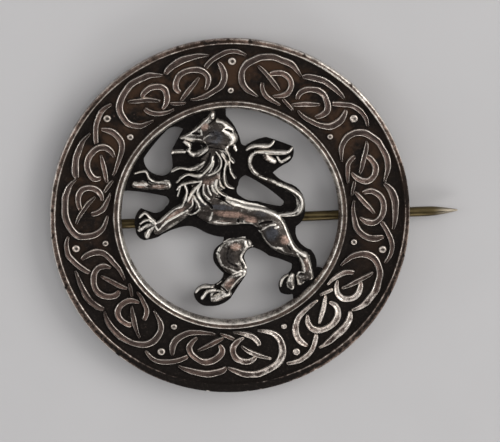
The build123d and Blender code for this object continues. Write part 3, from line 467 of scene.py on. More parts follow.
@dataclass
class Bench:
    """A node tree that is being wired up."""

    tree: bpy.types.NodeTree

    def put(self, value: object, socket: Socket) -> None:
        """Links a socket to another, or sets its own value, where a colour may be without its alpha."""
        if isinstance(value, Socket):
            self.tree.links.new(value, socket)
        else:
            socket.default_value = (*value, 1.0) if socket.type == "RGBA" and len(value) == 3 else value

    def add(self, kind: str, inputs: dict | None = None, **settings: object) -> bpy.types.Node:
        """Adds a node.

        Args:
            kind: The node's type.
            inputs: What goes into its inputs, by name or number.
            settings: The node's own settings.

        Returns:
            The new node.
        """
        node = self.tree.nodes.new(kind)
        for name, value in settings.items():
            setattr(node, name, value)
        for key, value in (inputs or {}).items():
            self.put(value, node.inputs[key])
        return node

    def out(self, kind: str, inputs: dict | None = None, wanted: str | int = 0, **settings: object) -> Socket:
        """An output of a new node, the first where none is named."""
        return self.add(kind, inputs, **settings).outputs[wanted]

    def maths(self, operation: str, *values: object) -> Socket:
        """The outcome of a Math node."""
        return self.out("ShaderNodeMath", dict(enumerate(values)), operation=operation)

    def times(self, first: object, *others: object) -> Socket:
        """The product of numbers."""
        for other in others:
            first = self.maths("MULTIPLY", first, other)
        return first

    def plus(self, first: object, second: object) -> Socket:
        """The sum of two numbers."""
        return self.maths("ADD", first, second)

    def minus(self, first: object, second: object) -> Socket:
        """The first number less the second."""
        return self.maths("SUBTRACT", first, second)

    def vector(self, operation: str, *values: object) -> Socket:
        """The outcome of a Vector Math node."""
        wanted = "Value" if operation == "DOT_PRODUCT" else "Vector"
        return self.out("ShaderNodeVectorMath", dict(enumerate(values)), wanted, operation=operation)

    def scaled(self, value: object, scale: object) -> Socket:
        """A vector times a number."""
        return self.out("ShaderNodeVectorMath", {0: value, "Scale": scale}, operation="SCALE")

    def xyz(self, **parts: object) -> Socket:
        """A vector of the parts X, Y and Z, where one that is left out is 0."""
        return self.out("ShaderNodeCombineXYZ", parts)

    def here(self) -> Socket:
        """The place in object coordinates."""
        return self.out("ShaderNodeTexCoord", wanted="Object")

    def mapped(self, where: Socket, degrees: float, scale: tuple[float, float, float]) -> Socket:
        """A place turned about Z and scaled."""
        return self.out("ShaderNodeMapping", {"Vector": where, "Rotation": (0, 0, radians(degrees)), "Scale": scale})

    def blend(self, share: object, low: object, high: object) -> Socket:
        """A number between two others."""
        return self.out("ShaderNodeMix", {0: share, 2: low, 3: high}, data_type="FLOAT")

    def dye(self, share: object, low: object, high: object) -> Socket:
        """A colour between two others."""
        return self.out("ShaderNodeMix", {0: share, 6: low, 7: high}, 2, data_type="RGBA")

    def step(self, value: object, start: float, end: float, low: float = 0.0, high: float = 1.0) -> Socket:
        """A number that goes smoothly from low to high as the value goes from start to end."""
        inputs = {"Value": value, "From Min": start, "From Max": end, "To Min": low, "To Max": high}
        return self.out("ShaderNodeMapRange", inputs, "Result", interpolation_type="SMOOTHSTEP")

    def curve(self, value: object, points: Sequence[tuple[float, float]]) -> Socket:
        """A number read off a curve through the points."""
        node = self.add("ShaderNodeFloatCurve", {"Value": value})
        line = node.mapping.curves[0]
        line.points[0].location, line.points[-1].location = points[0], points[-1]
        for x, y in points[1:-1]:
            line.points.new(x, y)
        node.mapping.update()
        return node.outputs[0]

    def noise(self, where: object, scale: object, detail: float = 4.0, rough: float = 0.6) -> Socket:
        """The strength of a noise texture, from about 0.3 to 0.7."""
        return self.out("ShaderNodeTexNoise", {"Vector": where, "Scale": scale, "Detail": detail, "Roughness": rough})

    def bump(self, height: Socket, depth: float) -> Socket:
        """A normal from a height, of that depth in metres."""
        return self.out("ShaderNodeBump", {"Height": height, "Strength": 0.5, "Distance": depth})

    def coat(self, **inputs: object) -> None:
        """Ends a material in a principled surface, with _ for a space in its inputs' names."""
        given = {name.replace("_", " "): value for name, value in inputs.items()}
        self.add("ShaderNodeOutputMaterial", {"Surface": self.out("ShaderNodeBsdfPrincipled", given)})

    def store(self, geometry: Socket, name: str, value: Socket, kind: str = "FLOAT") -> Socket:
        """The geometry with a named mark on its points."""
        return self.out("GeometryNodeStoreNamedAttribute", {"Geometry": geometry, "Name": name, "Value": value},
                        data_type=kind, domain="POINT")

    def mark(self, name: str, kind: str = "FLOAT") -> Socket:
        """A named mark of the points."""
        return self.out("GeometryNodeInputNamedAttribute", {"Name": name}, data_type=kind)

    def chance(self, seed: Socket, kind: str, low: object, high: object) -> Socket:
        """A random value for each point."""
        node = self.add("FunctionNodeRandomValue", data_type=kind)
        for socket, value in (("Min", low), ("Max", high), ("Seed", seed)):
            self.put(value, next(item for item in node.inputs if item.enabled and item.name == socket))
        return next(item for item in node.outputs if item.enabled)


def linked(name: str, data: bpy.types.ID) -> bpy.types.Object:
    """A new object of the data, linked to the scene."""
    made = bpy.data.objects.new(name, data)
    bpy.context.scene.collection.objects.link(made)
    return made


def new_material(name: str) -> tuple[bpy.types.Material, Bench]:
    """An empty material and its bench."""
    made = bpy.data.materials.new(name)
    made.use_nodes = True
    made.node_tree.nodes.clear()
    return made, Bench(made.node_tree)


def write_marks(mesh: bpy.types.Mesh, marks: dict[str, Sequence[float]]) -> None:
    """Puts marks on a mesh's points."""
    for name, values in marks.items():
        mesh.attributes.new(name, "FLOAT", "POINT").data.foreach_set("value", np.asarray(values, np.float32))


def new_object(name: str, shape: Shape, setting: Setting, metal: bpy.types.Material | None = None,
               outward: bool = True) -> bpy.types.Object:
    """A mesh object of a shape, in the frame.

    Args:
        name: The piece's name.
        shape: Its points in millimetres, faces and marks.
        setting: The plate's place in the frame.
        metal: What it is made of.
        outward: Whether its faces are turned to point outwards first.

    Returns:
        The new object, at the origin, smooth, and linked to the scene.
    """
    mesh = bpy.data.meshes.new(name)
    mesh.from_pydata(setting.place(shape.points).tolist(), [], shape.faces)
    write_marks(mesh, shape.marks)
    if outward:
        work = bmesh.new()
        work.from_mesh(mesh)
        bmesh.ops.recalc_face_normals(work, faces=work.faces)
        work.to_mesh(mesh)
        work.free()
    mesh.shade_smooth()
    mesh.validate()
    if metal:
        mesh.materials.append(metal)
    return linked(name, mesh)


def joined(shapes: Sequence[Shape]) -> Shape:
    """Several shapes as one, with the marks that they all have."""
    faces, start = [], 0
    names = set.intersection(*(set(shape.marks) for shape in shapes))
    for shape in shapes:
        faces += [tuple(corner + start for corner in face) for face in shape.faces]
        start += len(shape.points)
    marks = {name: np.concatenate([shape.marks[name] for shape in shapes]) for name in names}
    return Shape(np.concatenate([shape.points for shape in shapes]), faces, marks)


def turned(profile: np.ndarray, steps: int, marks: dict[str, np.ndarray] | None = None) -> Shape:
    """A closed profile of radius and height, turned about Z.

    Args:
        profile: Rows of radius and height, going round the section once.
        steps: The sides of the turned shape.
        marks: Numbers for each row of the profile.

    Returns:
        The turned ring.
    """
    angles = np.linspace(0, tau, steps, endpoint=False)
    rows = len(profile)
    points = np.empty((steps, rows, 3))
    points[:, :, :2] = np.stack([np.cos(angles), np.sin(angles)], axis=1)[:, None, :] * profile[None, :, :1]
    points[:, :, 2] = profile[None, :, 1]
    faces = []
    for i in range(steps):
        near, far = i * rows, (i + 1) % steps * rows
        faces += [(near + j, near + (j + 1) % rows, far + (j + 1) % rows, far + j) for j in range(rows)]
    return Shape(points.reshape(-1, 3), faces, {name: np.tile(row, steps) for name, row in (marks or {}).items()})


def spun(profile: Sequence[tuple[float, float]], sides: int = 32) -> Shape:
    """A solid turned about X from rows of distance and radius, with a fan at each end."""
    angles = np.linspace(0, tau, sides, endpoint=False)
    rows = np.array(profile, float)
    rings = [np.stack([np.full(sides, x), r * np.cos(angles), r * np.sin(angles)], axis=1) for x, r in rows]
    points = np.concatenate(rings + [[(rows[0, 0], 0, 0), (rows[-1, 0], 0, 0)]])
    first, last, end = len(points) - 2, len(points) - 1, (len(rows) - 1) * sides
    faces = []
    for j in range(sides):
        k = (j + 1) % sides
        faces += [(i + j, i + k, i + sides + k, i + sides + j) for i in range(0, end, sides)]
        faces += [(first, k, j), (last, end + j, end + k)]
    return Shape(points, faces, {})


def moved(shape: Shape, matrix: Matrix) -> Shape:
    """A shape with its points put through a matrix."""
    turn = np.array(matrix)
    return Shape(shape.points @ turn[:3, :3].T + turn[:3, 3], shape.faces, shape.marks)


def eased(rows: Sequence[Sequence[float]], spacing: float) -> np.ndarray:
    """Rows of a table with more between them, on a smooth curve through them.

    Args:
        rows: Rows whose first two columns are a place.
        spacing: About how far apart the new places are.

    Returns:
        The rows of the curve.
    """
    given = np.array(rows, float)
    result = []
    for i in range(len(given) - 1):
        start, end = given[i], given[i + 1]
        before, after = given[max(i - 1, 0)], given[min(i + 2, len(given) - 1)]
        steps = max(2, int(np.hypot(*(end - start)[:2]) / spacing))
        for step in range(steps):
            t = step / steps
            result.append(start + t / 2 * (end - before + t * (
                2 * before - 5 * start + 4 * end - after + t * (3 * start - before - 3 * end + after))))
    return np.array(result + [given[-1]])


def new_tree(kind: str, name: str, inputs: dict[str, object], outputs: dict[str, str]) -> tuple:
    """A new node tree with its sockets.

    Args:
        kind: The tree's type.
        name: Its name.
        inputs: Each input's type by its name, or a number that it starts at.
        outputs: Each output's type by its name.

    Returns:
        The tree's bench, what comes in and what goes out.
    """
    tree = bpy.data.node_groups.new(name, kind)
    for title, given in inputs.items():
        typed = given if isinstance(given, str) else "Int" if isinstance(given, int) else "Float"
        socket = tree.interface.new_socket(name=title, in_out="INPUT", socket_type=f"NodeSocket{typed}")
        if typed is not given:
            socket.default_value = given
    for title, typed in outputs.items():
        tree.interface.new_socket(name=title, in_out="OUTPUT", socket_type=f"NodeSocket{typed}")
    bench = Bench(tree)
    return bench, bench.add("NodeGroupInput").outputs, bench.add("NodeGroupOutput").inputs


def evaluated(made: bpy.types.Object) -> bpy.types.Mesh:
    """An object's mesh with its modifiers worked in. The object is removed."""
    graph = bpy.context.evaluated_depsgraph_get()
    mesh = bpy.data.meshes.new_from_object(made.evaluated_get(graph), preserve_all_data_layers=True, depsgraph=graph)
    bpy.data.objects.remove(made)
    return mesh


def run_tree(points: Sequence, edges: Sequence, marks: dict[str, Sequence[float]], tree: bpy.types.NodeTree,
             values: dict[str, object]) -> Shape:
    """What geometry nodes make of loose points and edges.

    Args:
        points: The points.
        edges: The edges between them, as pairs of numbers.
        marks: The points' marks.
        tree: The geometry nodes.
        values: The tree's inputs by their names.

    Returns:
        The shape, with every mark that is a number a point.
    """
    source = bpy.data.meshes.new(f"{tree.name}_guide")
    source.from_pydata(points, edges, [])
    write_marks(source, marks)
    carrier = linked(source.name, source)
    modifier = carrier.modifiers.new(tree.name, "NODES")
    modifier.node_group = tree
    sockets = {item.name: item.identifier for item in tree.interface.items_tree if item.in_out == "INPUT"}
    for name, value in values.items():
        modifier[sockets[name]] = value
    mesh = evaluated(carrier)
    places = np.empty(len(mesh.vertices) * 3)
    mesh.vertices.foreach_get("co", places)
    found = {}
    for layer in mesh.attributes:
        if layer.data_type == "FLOAT" and layer.domain == "POINT":
            found[layer.name] = np.zeros(len(mesh.vertices), np.float32)
            layer.data.foreach_get("value", found[layer.name])
    return Shape(places.reshape(-1, 3), [tuple(face.vertices) for face in mesh.polygons], found)


@dataclass(frozen=True)
class SharedGroup:
    """A shader group that is built once and serves every finish."""

    name: str

    def tree(self) -> bpy.types.NodeTree:
        """The group, which is built when it is first asked for."""
        return bpy.data.node_groups.get(self.name) or self.built()

    def built(self) -> bpy.types.NodeTree:
        """Builds the group."""
        raise NotImplementedError


@dataclass(frozen=True)
class PatinaAndPaintedLightGroup(SharedGroup):
    """Turns the marks of wear and painted highlight, and of soot and painted shade, into patchy masks."""

    name: str = "patina"
    fine_scale: float = 6.5
    fine_share: float = 0.6
    stain_scale: float = 2.1
    stain_reach: float = 2.2
    bare_and_highlight_range: tuple[float, float] = (0.28, 0.86)
    sooty_and_shaded_range: tuple[float, float] = (0.25, 0.8)

    def built(self) -> bpy.types.NodeTree:
        """Builds the group."""
        bench, given, result = new_tree(
            "ShaderNodeTree", self.name, {"Wear": 0.5, "Soot": 0.0, "Patchiness": 0.4, "Patch Scale": 900.0},
            {"Bare": "Float", "Sooty": "Float", "Mottle": "Float"})
        where, scale, patchiness = bench.here(), given["Patch Scale"], given["Patchiness"]
        broad = bench.noise(where, scale, 5.0, 0.62)
        fine = bench.noise(where, bench.times(scale, self.fine_scale), 3.0)
        other = bench.noise(bench.vector("ADD", where, (0.31, 0.17, 0.05)), bench.times(scale, self.stain_scale), 5.0)
        cloudy = bench.maths("MULTIPLY_ADD", bench.minus(fine, 0.5), self.fine_share, bench.minus(broad, 0.5))
        worn_and_highlit = bench.plus(given["Wear"], bench.times(cloudy, patchiness, 2.0))
        stained_and_shaded = bench.plus(given["Soot"], bench.times(bench.minus(other, 0.5), patchiness, self.stain_reach))
        bench.put(bench.step(worn_and_highlit, *self.bare_and_highlight_range), result["Bare"])
        bench.put(bench.step(stained_and_shaded, *self.sooty_and_shaded_range), result["Sooty"])
        bench.put(bench.plus(cloudy, 0.5), result["Mottle"])
        return bench.tree


@dataclass(frozen=True)
class HandMarksGroup(SharedGroup):
    """Fine scratches and pits, as a height. A stroke has its turn in degrees and how far it is drawn out."""

    name: str = "hand marks"
    strokes: tuple = ((25, 26.0), (-52, 34.0), (78, 20.0))
    stroke_scale: float = 260.0
    pit_scale: float = 5200.0

    def built(self) -> bpy.types.NodeTree:
        """Builds the group."""
        bench, given, result = new_tree("ShaderNodeTree", self.name, {"Scratches": 0.5, "Pits": 0.5, "Scale": 1.0},
                                        {"Height": "Float"})
        where, total = bench.here(), 0.0
        for turn, stretch in self.strokes:
            laid = bench.mapped(where, turn, (1.0, stretch, 1.0))
            streak = bench.noise(laid, bench.times(given["Scale"], self.stroke_scale), 2.0, 0.5)
            total = bench.plus(total, bench.step(streak, 0.60, 0.66))
        pitted = bench.step(bench.noise(where, bench.times(given["Scale"], self.pit_scale), 2.0), 0.56, 0.72)
        marks = bench.plus(bench.times(total, given["Scratches"], 0.5), bench.times(pitted, given["Pits"]))
        bench.put(bench.minus(0.5, marks), result["Height"])
        return bench.tree


@dataclass(frozen=True)
class SilverFinish:
    """Cast silver: bare on the worn edges and on painted highlights, grey-mauve between, and sooty brown to black in
    the recesses, partly as painted shade; dark blue bloom, partly as painted dark reflection.
    """

    name: str
    bare_and_highlight: Colour = (0.84, 0.79, 0.72)
    dull: Colour = (0.30, 0.255, 0.24)
    pink: Colour = (0.50, 0.335, 0.27)
    blue_and_dark_reflection: Colour = (0.085, 0.09, 0.105)
    black: Colour = (0.005, 0.004, 0.0038)
    brown: Colour = (0.044, 0.0245, 0.015)
    browning: float = 0.5
    specks: float = 0.3
    pitting: float = 0.5
    patchiness: float = 0.4
    patch_scale: float = 900.0
    bare_roughness: float = 0.29
    dull_roughness: float = 0.40
    soot_roughness: float = 0.62
    marks_depth: float = 0.00005
    lumps: float = 1.2
    lump_scale: float = 2400.0
    blotch_scale: float = 420.0
    pit_scale: float = 2700.0
    speck_scale: float = 3400.0

    def shade(self, share: float) -> Colour:
        """The dull colour, darker."""
        return tuple(part * share for part in self.dull)

    def material(self) -> bpy.types.Material:
        """The finish as a material, which reads the marks of wear and painted highlight, of soot and painted shade,
        and of bloom and painted dark reflection.
        """
        made, bench = new_material(self.name)
        wear, soot, bloom = (bench.out("ShaderNodeAttribute", wanted="Fac", attribute_name=name)
                             for name in ("wear", "soot", "bloom"))
        patina = bench.add("ShaderNodeGroup", node_tree=PatinaAndPaintedLightGroup().tree())
        for name, value in (("Wear", wear), ("Soot", soot), ("Patchiness", self.patchiness),
                            ("Patch Scale", self.patch_scale)):
            bench.put(value, patina.inputs[name])
        bare_and_highlight, sooty_and_shaded, mottle = (patina.outputs[name] for name in ("Bare", "Sooty", "Mottle"))
        where = bench.here()
        blotch = bench.noise(where, self.blotch_scale)
        ground = bench.dye(bench.step(mottle, 0.2, 0.8), self.shade(0.6), self.dull)
        broken = bench.times(bloom, bench.step(mottle, 0.22, 0.78, 0.25, 1.3))
        ground = bench.dye(bench.times(bench.step(broken, 0.0, 1.0), 0.8), ground, self.pink)
        # Dark blue where the bloom is under 0; on the middles of rounded parts it is a painted dark reflection.
        ground = bench.dye(bench.times(bench.step(bench.times(broken, -1.0), 0.0, 1.0), 0.85), ground, self.blue_and_dark_reflection)
        silver = bench.dye(bare_and_highlight, ground, self.bare_and_highlight)
        pit = bench.step(bench.noise(where, self.pit_scale, rough=0.7), 0.53, 0.70)
        silver = bench.dye(bench.times(pit, self.pitting), silver, self.shade(0.25))
        upper = bench.step(bench.out("ShaderNodeSeparateXYZ", {0: where}, "Y"), -0.016, 0.016)
        warm = bench.times(upper, self.browning, bench.step(blotch, 0.38, 0.62), bench.step(bloom, 0.0, 1.0))
        # Black to brown soot, which also stands for painted shade in the recesses.
        grime_and_shade = bench.dye(warm, self.black, self.brown)
        speck = bench.step(bench.noise(where, self.speck_scale, 3.0, 0.7), 0.5, 0.72)
        grime_and_shade = bench.dye(bench.times(speck, self.specks), grime_and_shade, self.shade(0.5))
        rough = bench.blend(sooty_and_shaded, bench.blend(bare_and_highlight, self.dull_roughness, self.bare_roughness), self.soot_roughness)
        marks = bench.out("ShaderNodeGroup", node_tree=HandMarksGroup().tree())
        height = bench.plus(marks, bench.times(bench.noise(where, self.lump_scale, 3.0), self.lumps))
        bench.coat(Base_Color=bench.dye(sooty_and_shaded, silver, grime_and_shade), Metallic=bench.minus(1.0, bench.times(sooty_and_shaded, 0.85)),
                   Roughness=bench.plus(rough, bench.times(bench.minus(blotch, 0.5), 0.2)),
                   Normal=bench.bump(height, self.marks_depth), Specular_IOR_Level=0.06)
        return made


@dataclass(frozen=True)
class BrassFinish:
    """Drawn brass wire, browned, with fine marks along it and a paler point."""

    name: str
    along_deg: float
    pale_from: float
    pale_to: float
    brass: Colour = (0.125, 0.096, 0.046)
    dull: Colour = (0.042, 0.030, 0.0145)
    pale: Colour = (0.36, 0.315, 0.25)
    roughness: float = 0.4
    streak_scale: float = 5200.0
    streak_length: float = 0.035
    stain_scale: float = 380.0
    marks_depth: float = 0.00002

    def material(self) -> bpy.types.Material:
        """The finish as a material, in object coordinates turned to the wire's line."""
        made, bench = new_material(self.name)
        where = bench.here()
        laid = bench.mapped(where, -self.along_deg, (self.streak_length, 1.0, 1.0))
        streaks = bench.noise(laid, self.streak_scale, 3.0)
        stains = bench.noise(where, self.stain_scale, rough=0.65)
        share = bench.step(bench.maths("MULTIPLY_ADD", streaks, 0.7, bench.times(stains, 0.5)), 0.44, 0.76)
        reach = bench.out("ShaderNodeSeparateXYZ", {0: where}, "X")
        point = bench.times(bench.step(reach, self.pale_from, self.pale_to), bench.step(streaks, 0.3, 0.6, 0.5, 1.0))
        bench.coat(Base_Color=bench.dye(point, bench.dye(share, self.dull, self.brass), self.pale), Metallic=1.0,
                   Roughness=bench.plus(self.roughness, bench.times(bench.minus(stains, 0.5), 0.35)),
                   Normal=bench.bump(streaks, self.marks_depth))
        return made


@dataclass(frozen=True)
class FloorFinish:
    """Pale grey studio paper."""

    name: str = "studio_paper"
    paper: Colour = (0.472, 0.465, 0.469)

    def material(self) -> bpy.types.Material:
        """The finish as a material."""
        made, bench = new_material(self.name)
        cloudy = bench.step(bench.noise(bench.here(), 30.0, 3.0), 0.35, 0.65)
        shade = tuple(part * 0.97 for part in self.paper)
        bench.coat(Base_Color=bench.dye(cloudy, shade, self.paper), Roughness=0.85)
        return made


def wash(angles: np.ndarray, seed: int, strength: float, waves: int = 24) -> np.ndarray:
    """A smooth hand-made waver round the ring, the same each time.

    Args:
        angles: Radians round the ring.
        seed: Which waver.
        strength: Its size.
        waves: Its shortest wave, as waves round the ring.

    Returns:
        The waver at each angle.
    """
    maker = np.random.default_rng(seed)
    total = np.zeros_like(angles)
    for wave in range(2, waves):
        total += maker.normal() / wave ** 0.6 * np.sin(wave * angles + maker.uniform(0, tau))
    return total * strength


def cloud(xs: np.ndarray, seed: int, strength: float, shortest: float = 7.0, longest: float = 36.0) -> np.ndarray:
    """A smooth uneven field over a square grid of those places, of waves between two lengths."""
    maker = np.random.default_rng(seed)
    total = np.zeros((len(xs), len(xs)))
    for _ in range(16):
        turn, length, start = maker.uniform(0, tau), maker.uniform(shortest, longest), maker.uniform(0, tau)
        total += np.sin((xs[None, :] * cos(turn) + xs[:, None] * sin(turn)) * tau / length + start)
    return total * strength / 4


def from_angle(angles: np.ndarray, middle: float) -> np.ndarray:
    """How far angles in radians are from one in degrees, in degrees."""
    return np.abs((np.degrees(angles) - middle + 180) % 360 - 180)


def worn_extra(angles: np.ndarray, arcs: Sequence[tuple[float, float, float]] = WORN_ARCS) -> np.ndarray:
    """How much more the border is worn at each angle round it, in radians from +X."""
    extra = np.zeros_like(angles)
    for middle, reach, amount in arcs:
        extra += amount * (1 - smooth_step(from_angle(angles, middle) / reach))
    return extra


@dataclass
class Border:
    """The ring: a sunk floor between a flat outer rim and a grooved inner one."""

    outer_radius: float = 24.0
    hole_radius: float = 14.5
    back: float = 2.7
    floor: float = 3.45
    outer_top: float = 4.05
    inner_top: float = 4.2
    outer_rim: float = 0.72
    inner_rim: float = 1.2
    front_from: float = 0.5
    edge_width: float = 0.14
    nick_reach: float = 0.3
    browned_inset: tuple[float, float] = (1.9, 1.7)
    browned_fade: float = 1.2
    rim_drop: float = 0.5
    rim_band: float = 0.57
    steps: int = 420

    def profile(self) -> np.ndarray:
        """The section: radius, height, wear and soot, from the hole's back edge over the front to the outer edge."""
        hole, outer, back, floor = self.hole_radius, self.outer_radius, self.back, self.floor
        crest, rim = self.inner_top, self.outer_top
        return np.array([
            (hole + 0.34, back, 0.5, 0.05), (hole + 0.14, back + 0.05, 0.6, 0), (hole + 0.03, back + 0.18, 0.5, 0.1),
            (hole, back + 0.4, 0.45, 0.25), (hole, crest - 0.7, 0.55, 0.1), (hole + 0.03, crest - 0.58, 0.6, 0),
            (hole + 0.14, crest - 0.4, 0.6, 0), (hole + 0.28, crest - 0.2, 0.6, 0),
            (hole + 0.40, crest - 0.07, 0.75, 0), (hole + 0.47, crest - 0.01, 1.0, 0), (hole + 0.52, crest, 0.8, 0),
            (hole + 0.57, crest - 0.05, 0.4, 0.1), (hole + 0.66, crest - 0.12, 0.12, 0.42),
            (hole + 0.78, crest - 0.14, 0.1, 0.5), (hole + 0.90, crest - 0.12, 0.12, 0.42),
            (hole + 0.99, crest - 0.05, 0.45, 0.1), (hole + 1.04, crest - 0.02, 0.85, 0),
            (hole + 1.09, crest - 0.06, 0.6, 0), (hole + 1.17, crest - 0.28, 0.2, 0.6),
            (hole + 1.26, crest - 0.56, 0.1, 1), (hole + 1.38, floor + 0.02, 0, 1), (hole + 2.0, floor - 0.01, 0, 1),
            (hole + 3.2, floor - 0.02, 0.05, 0.95), (hole + 4.6, floor - 0.02, 0.05, 0.95),
            (hole + 6.2, floor - 0.02, 0.05, 0.95), (outer - 1.5, floor - 0.01, 0, 1),
            (outer - 1.0, floor + 0.02, 0, 1), (outer - 0.84, floor + 0.16, 0.1, 0.95),
            (outer - 0.70, rim - 0.14, 0.2, 0.6), (outer - 0.62, rim - 0.03, 0.5, 0.1), (outer - 0.57, rim, 0.85, 0),
            (outer - 0.52, rim - 0.015, 0.4, 0.2), (outer - 0.42, rim - 0.04, 0.08, 0.5),
            (outer - 0.24, rim - 0.05, 0.08, 0.5), (outer - 0.12, rim - 0.09, 0.3, 0.2),
            (outer - 0.04, rim - 0.17, 0.66, 0), (outer, rim - 0.32, 0.5, 0.05), (outer, back + 0.34, 0.4, 0.1),
            (outer - 0.04, back + 0.16, 0.45, 0.1), (outer - 0.16, back + 0.04, 0.5, 0.1),
            (outer - 0.34, back, 0.5, 0.05),
        ])

    def build(self, setting: Setting, finish: SilverFinish) -> bpy.types.Object:
        """The turned ring with its wavering rims, nicks and wear."""
        section = self.profile()
        shape = turned(section[:, :2], self.steps, {"wear": section[:, 2], "soot": section[:, 3]})
        points, wear, soot = shape.points, shape.marks["wear"], shape.marks["soot"]
        angles, radius = np.arctan2(points[:, 1], points[:, 0]), np.hypot(points[:, 0], points[:, 1])
        front = points[:, 2] > self.back + self.front_from
        outer = front & (radius > self.outer_radius - self.outer_rim)
        inner = front & (radius < self.hole_radius + self.inner_rim)
        sunk, rims = front & ~outer & ~inner, outer | inner
        for part, seed, strength, waves in ((outer, 3, 0.006, 40), (inner, 5, 0.005, 40), (sunk, 7, 0.012, 60)):
            points[part, 2] += wash(angles[part], seed, strength, waves)
        bend = 1 + np.where(rims, wash(angles, 9, 0.0002, 50), 0)
        points[:, :2] *= np.minimum(bend, self.outer_radius / radius)[:, None]
        nicked = front & (radius > self.outer_radius - self.nick_reach)
        for middle, wide, deep in NICKS:
            dent = (1 - smooth_step(from_angle(angles, middle) / wide)) * nicked
            points[:, 2] -= deep * dent
            soot += 0.8 * dent
        # The rims are brighter at the outer rim's upper right and the inner rim's lower left, which face the light:
        # painted highlight.
        rubbed_and_painted_light = outer * worn_extra(angles, OUTER_RIM_ARCS) + inner * worn_extra(angles, INNER_RIM_ARCS)
        edge = smooth_step((radius - self.outer_radius + self.edge_width) / 0.1) * worn_extra(angles, OUTER_EDGE_ARCS)
        wear += np.where(rims, wash(angles, 11, 0.03, 60), 0) + rubbed_and_painted_light + edge
        soot += outer * np.clip(-rubbed_and_painted_light * 1.6, 0, 0.8) * (edge <= 0.5)
        inward = radius - self.hole_radius - self.browned_inset[0]
        outward = self.outer_radius - self.browned_inset[1] - radius
        warm = smooth_step(inward / self.browned_fade) * smooth_step(outward / self.browned_fade)
        marks = {"wear": wear, "soot": soot, "bloom": np.where(sunk, 0.25 + 0.75 * warm, np.where(inner, 0.25, 0.5))}
        spread = np.clip((radius - self.outer_radius + self.rim_band) / self.rim_band, 0, 1)
        points[:, 1] -= self.rim_drop * spread * (points[:, 1] < 0)
        return new_object("border", Shape(points, shape.faces, marks), setting, finish.material())


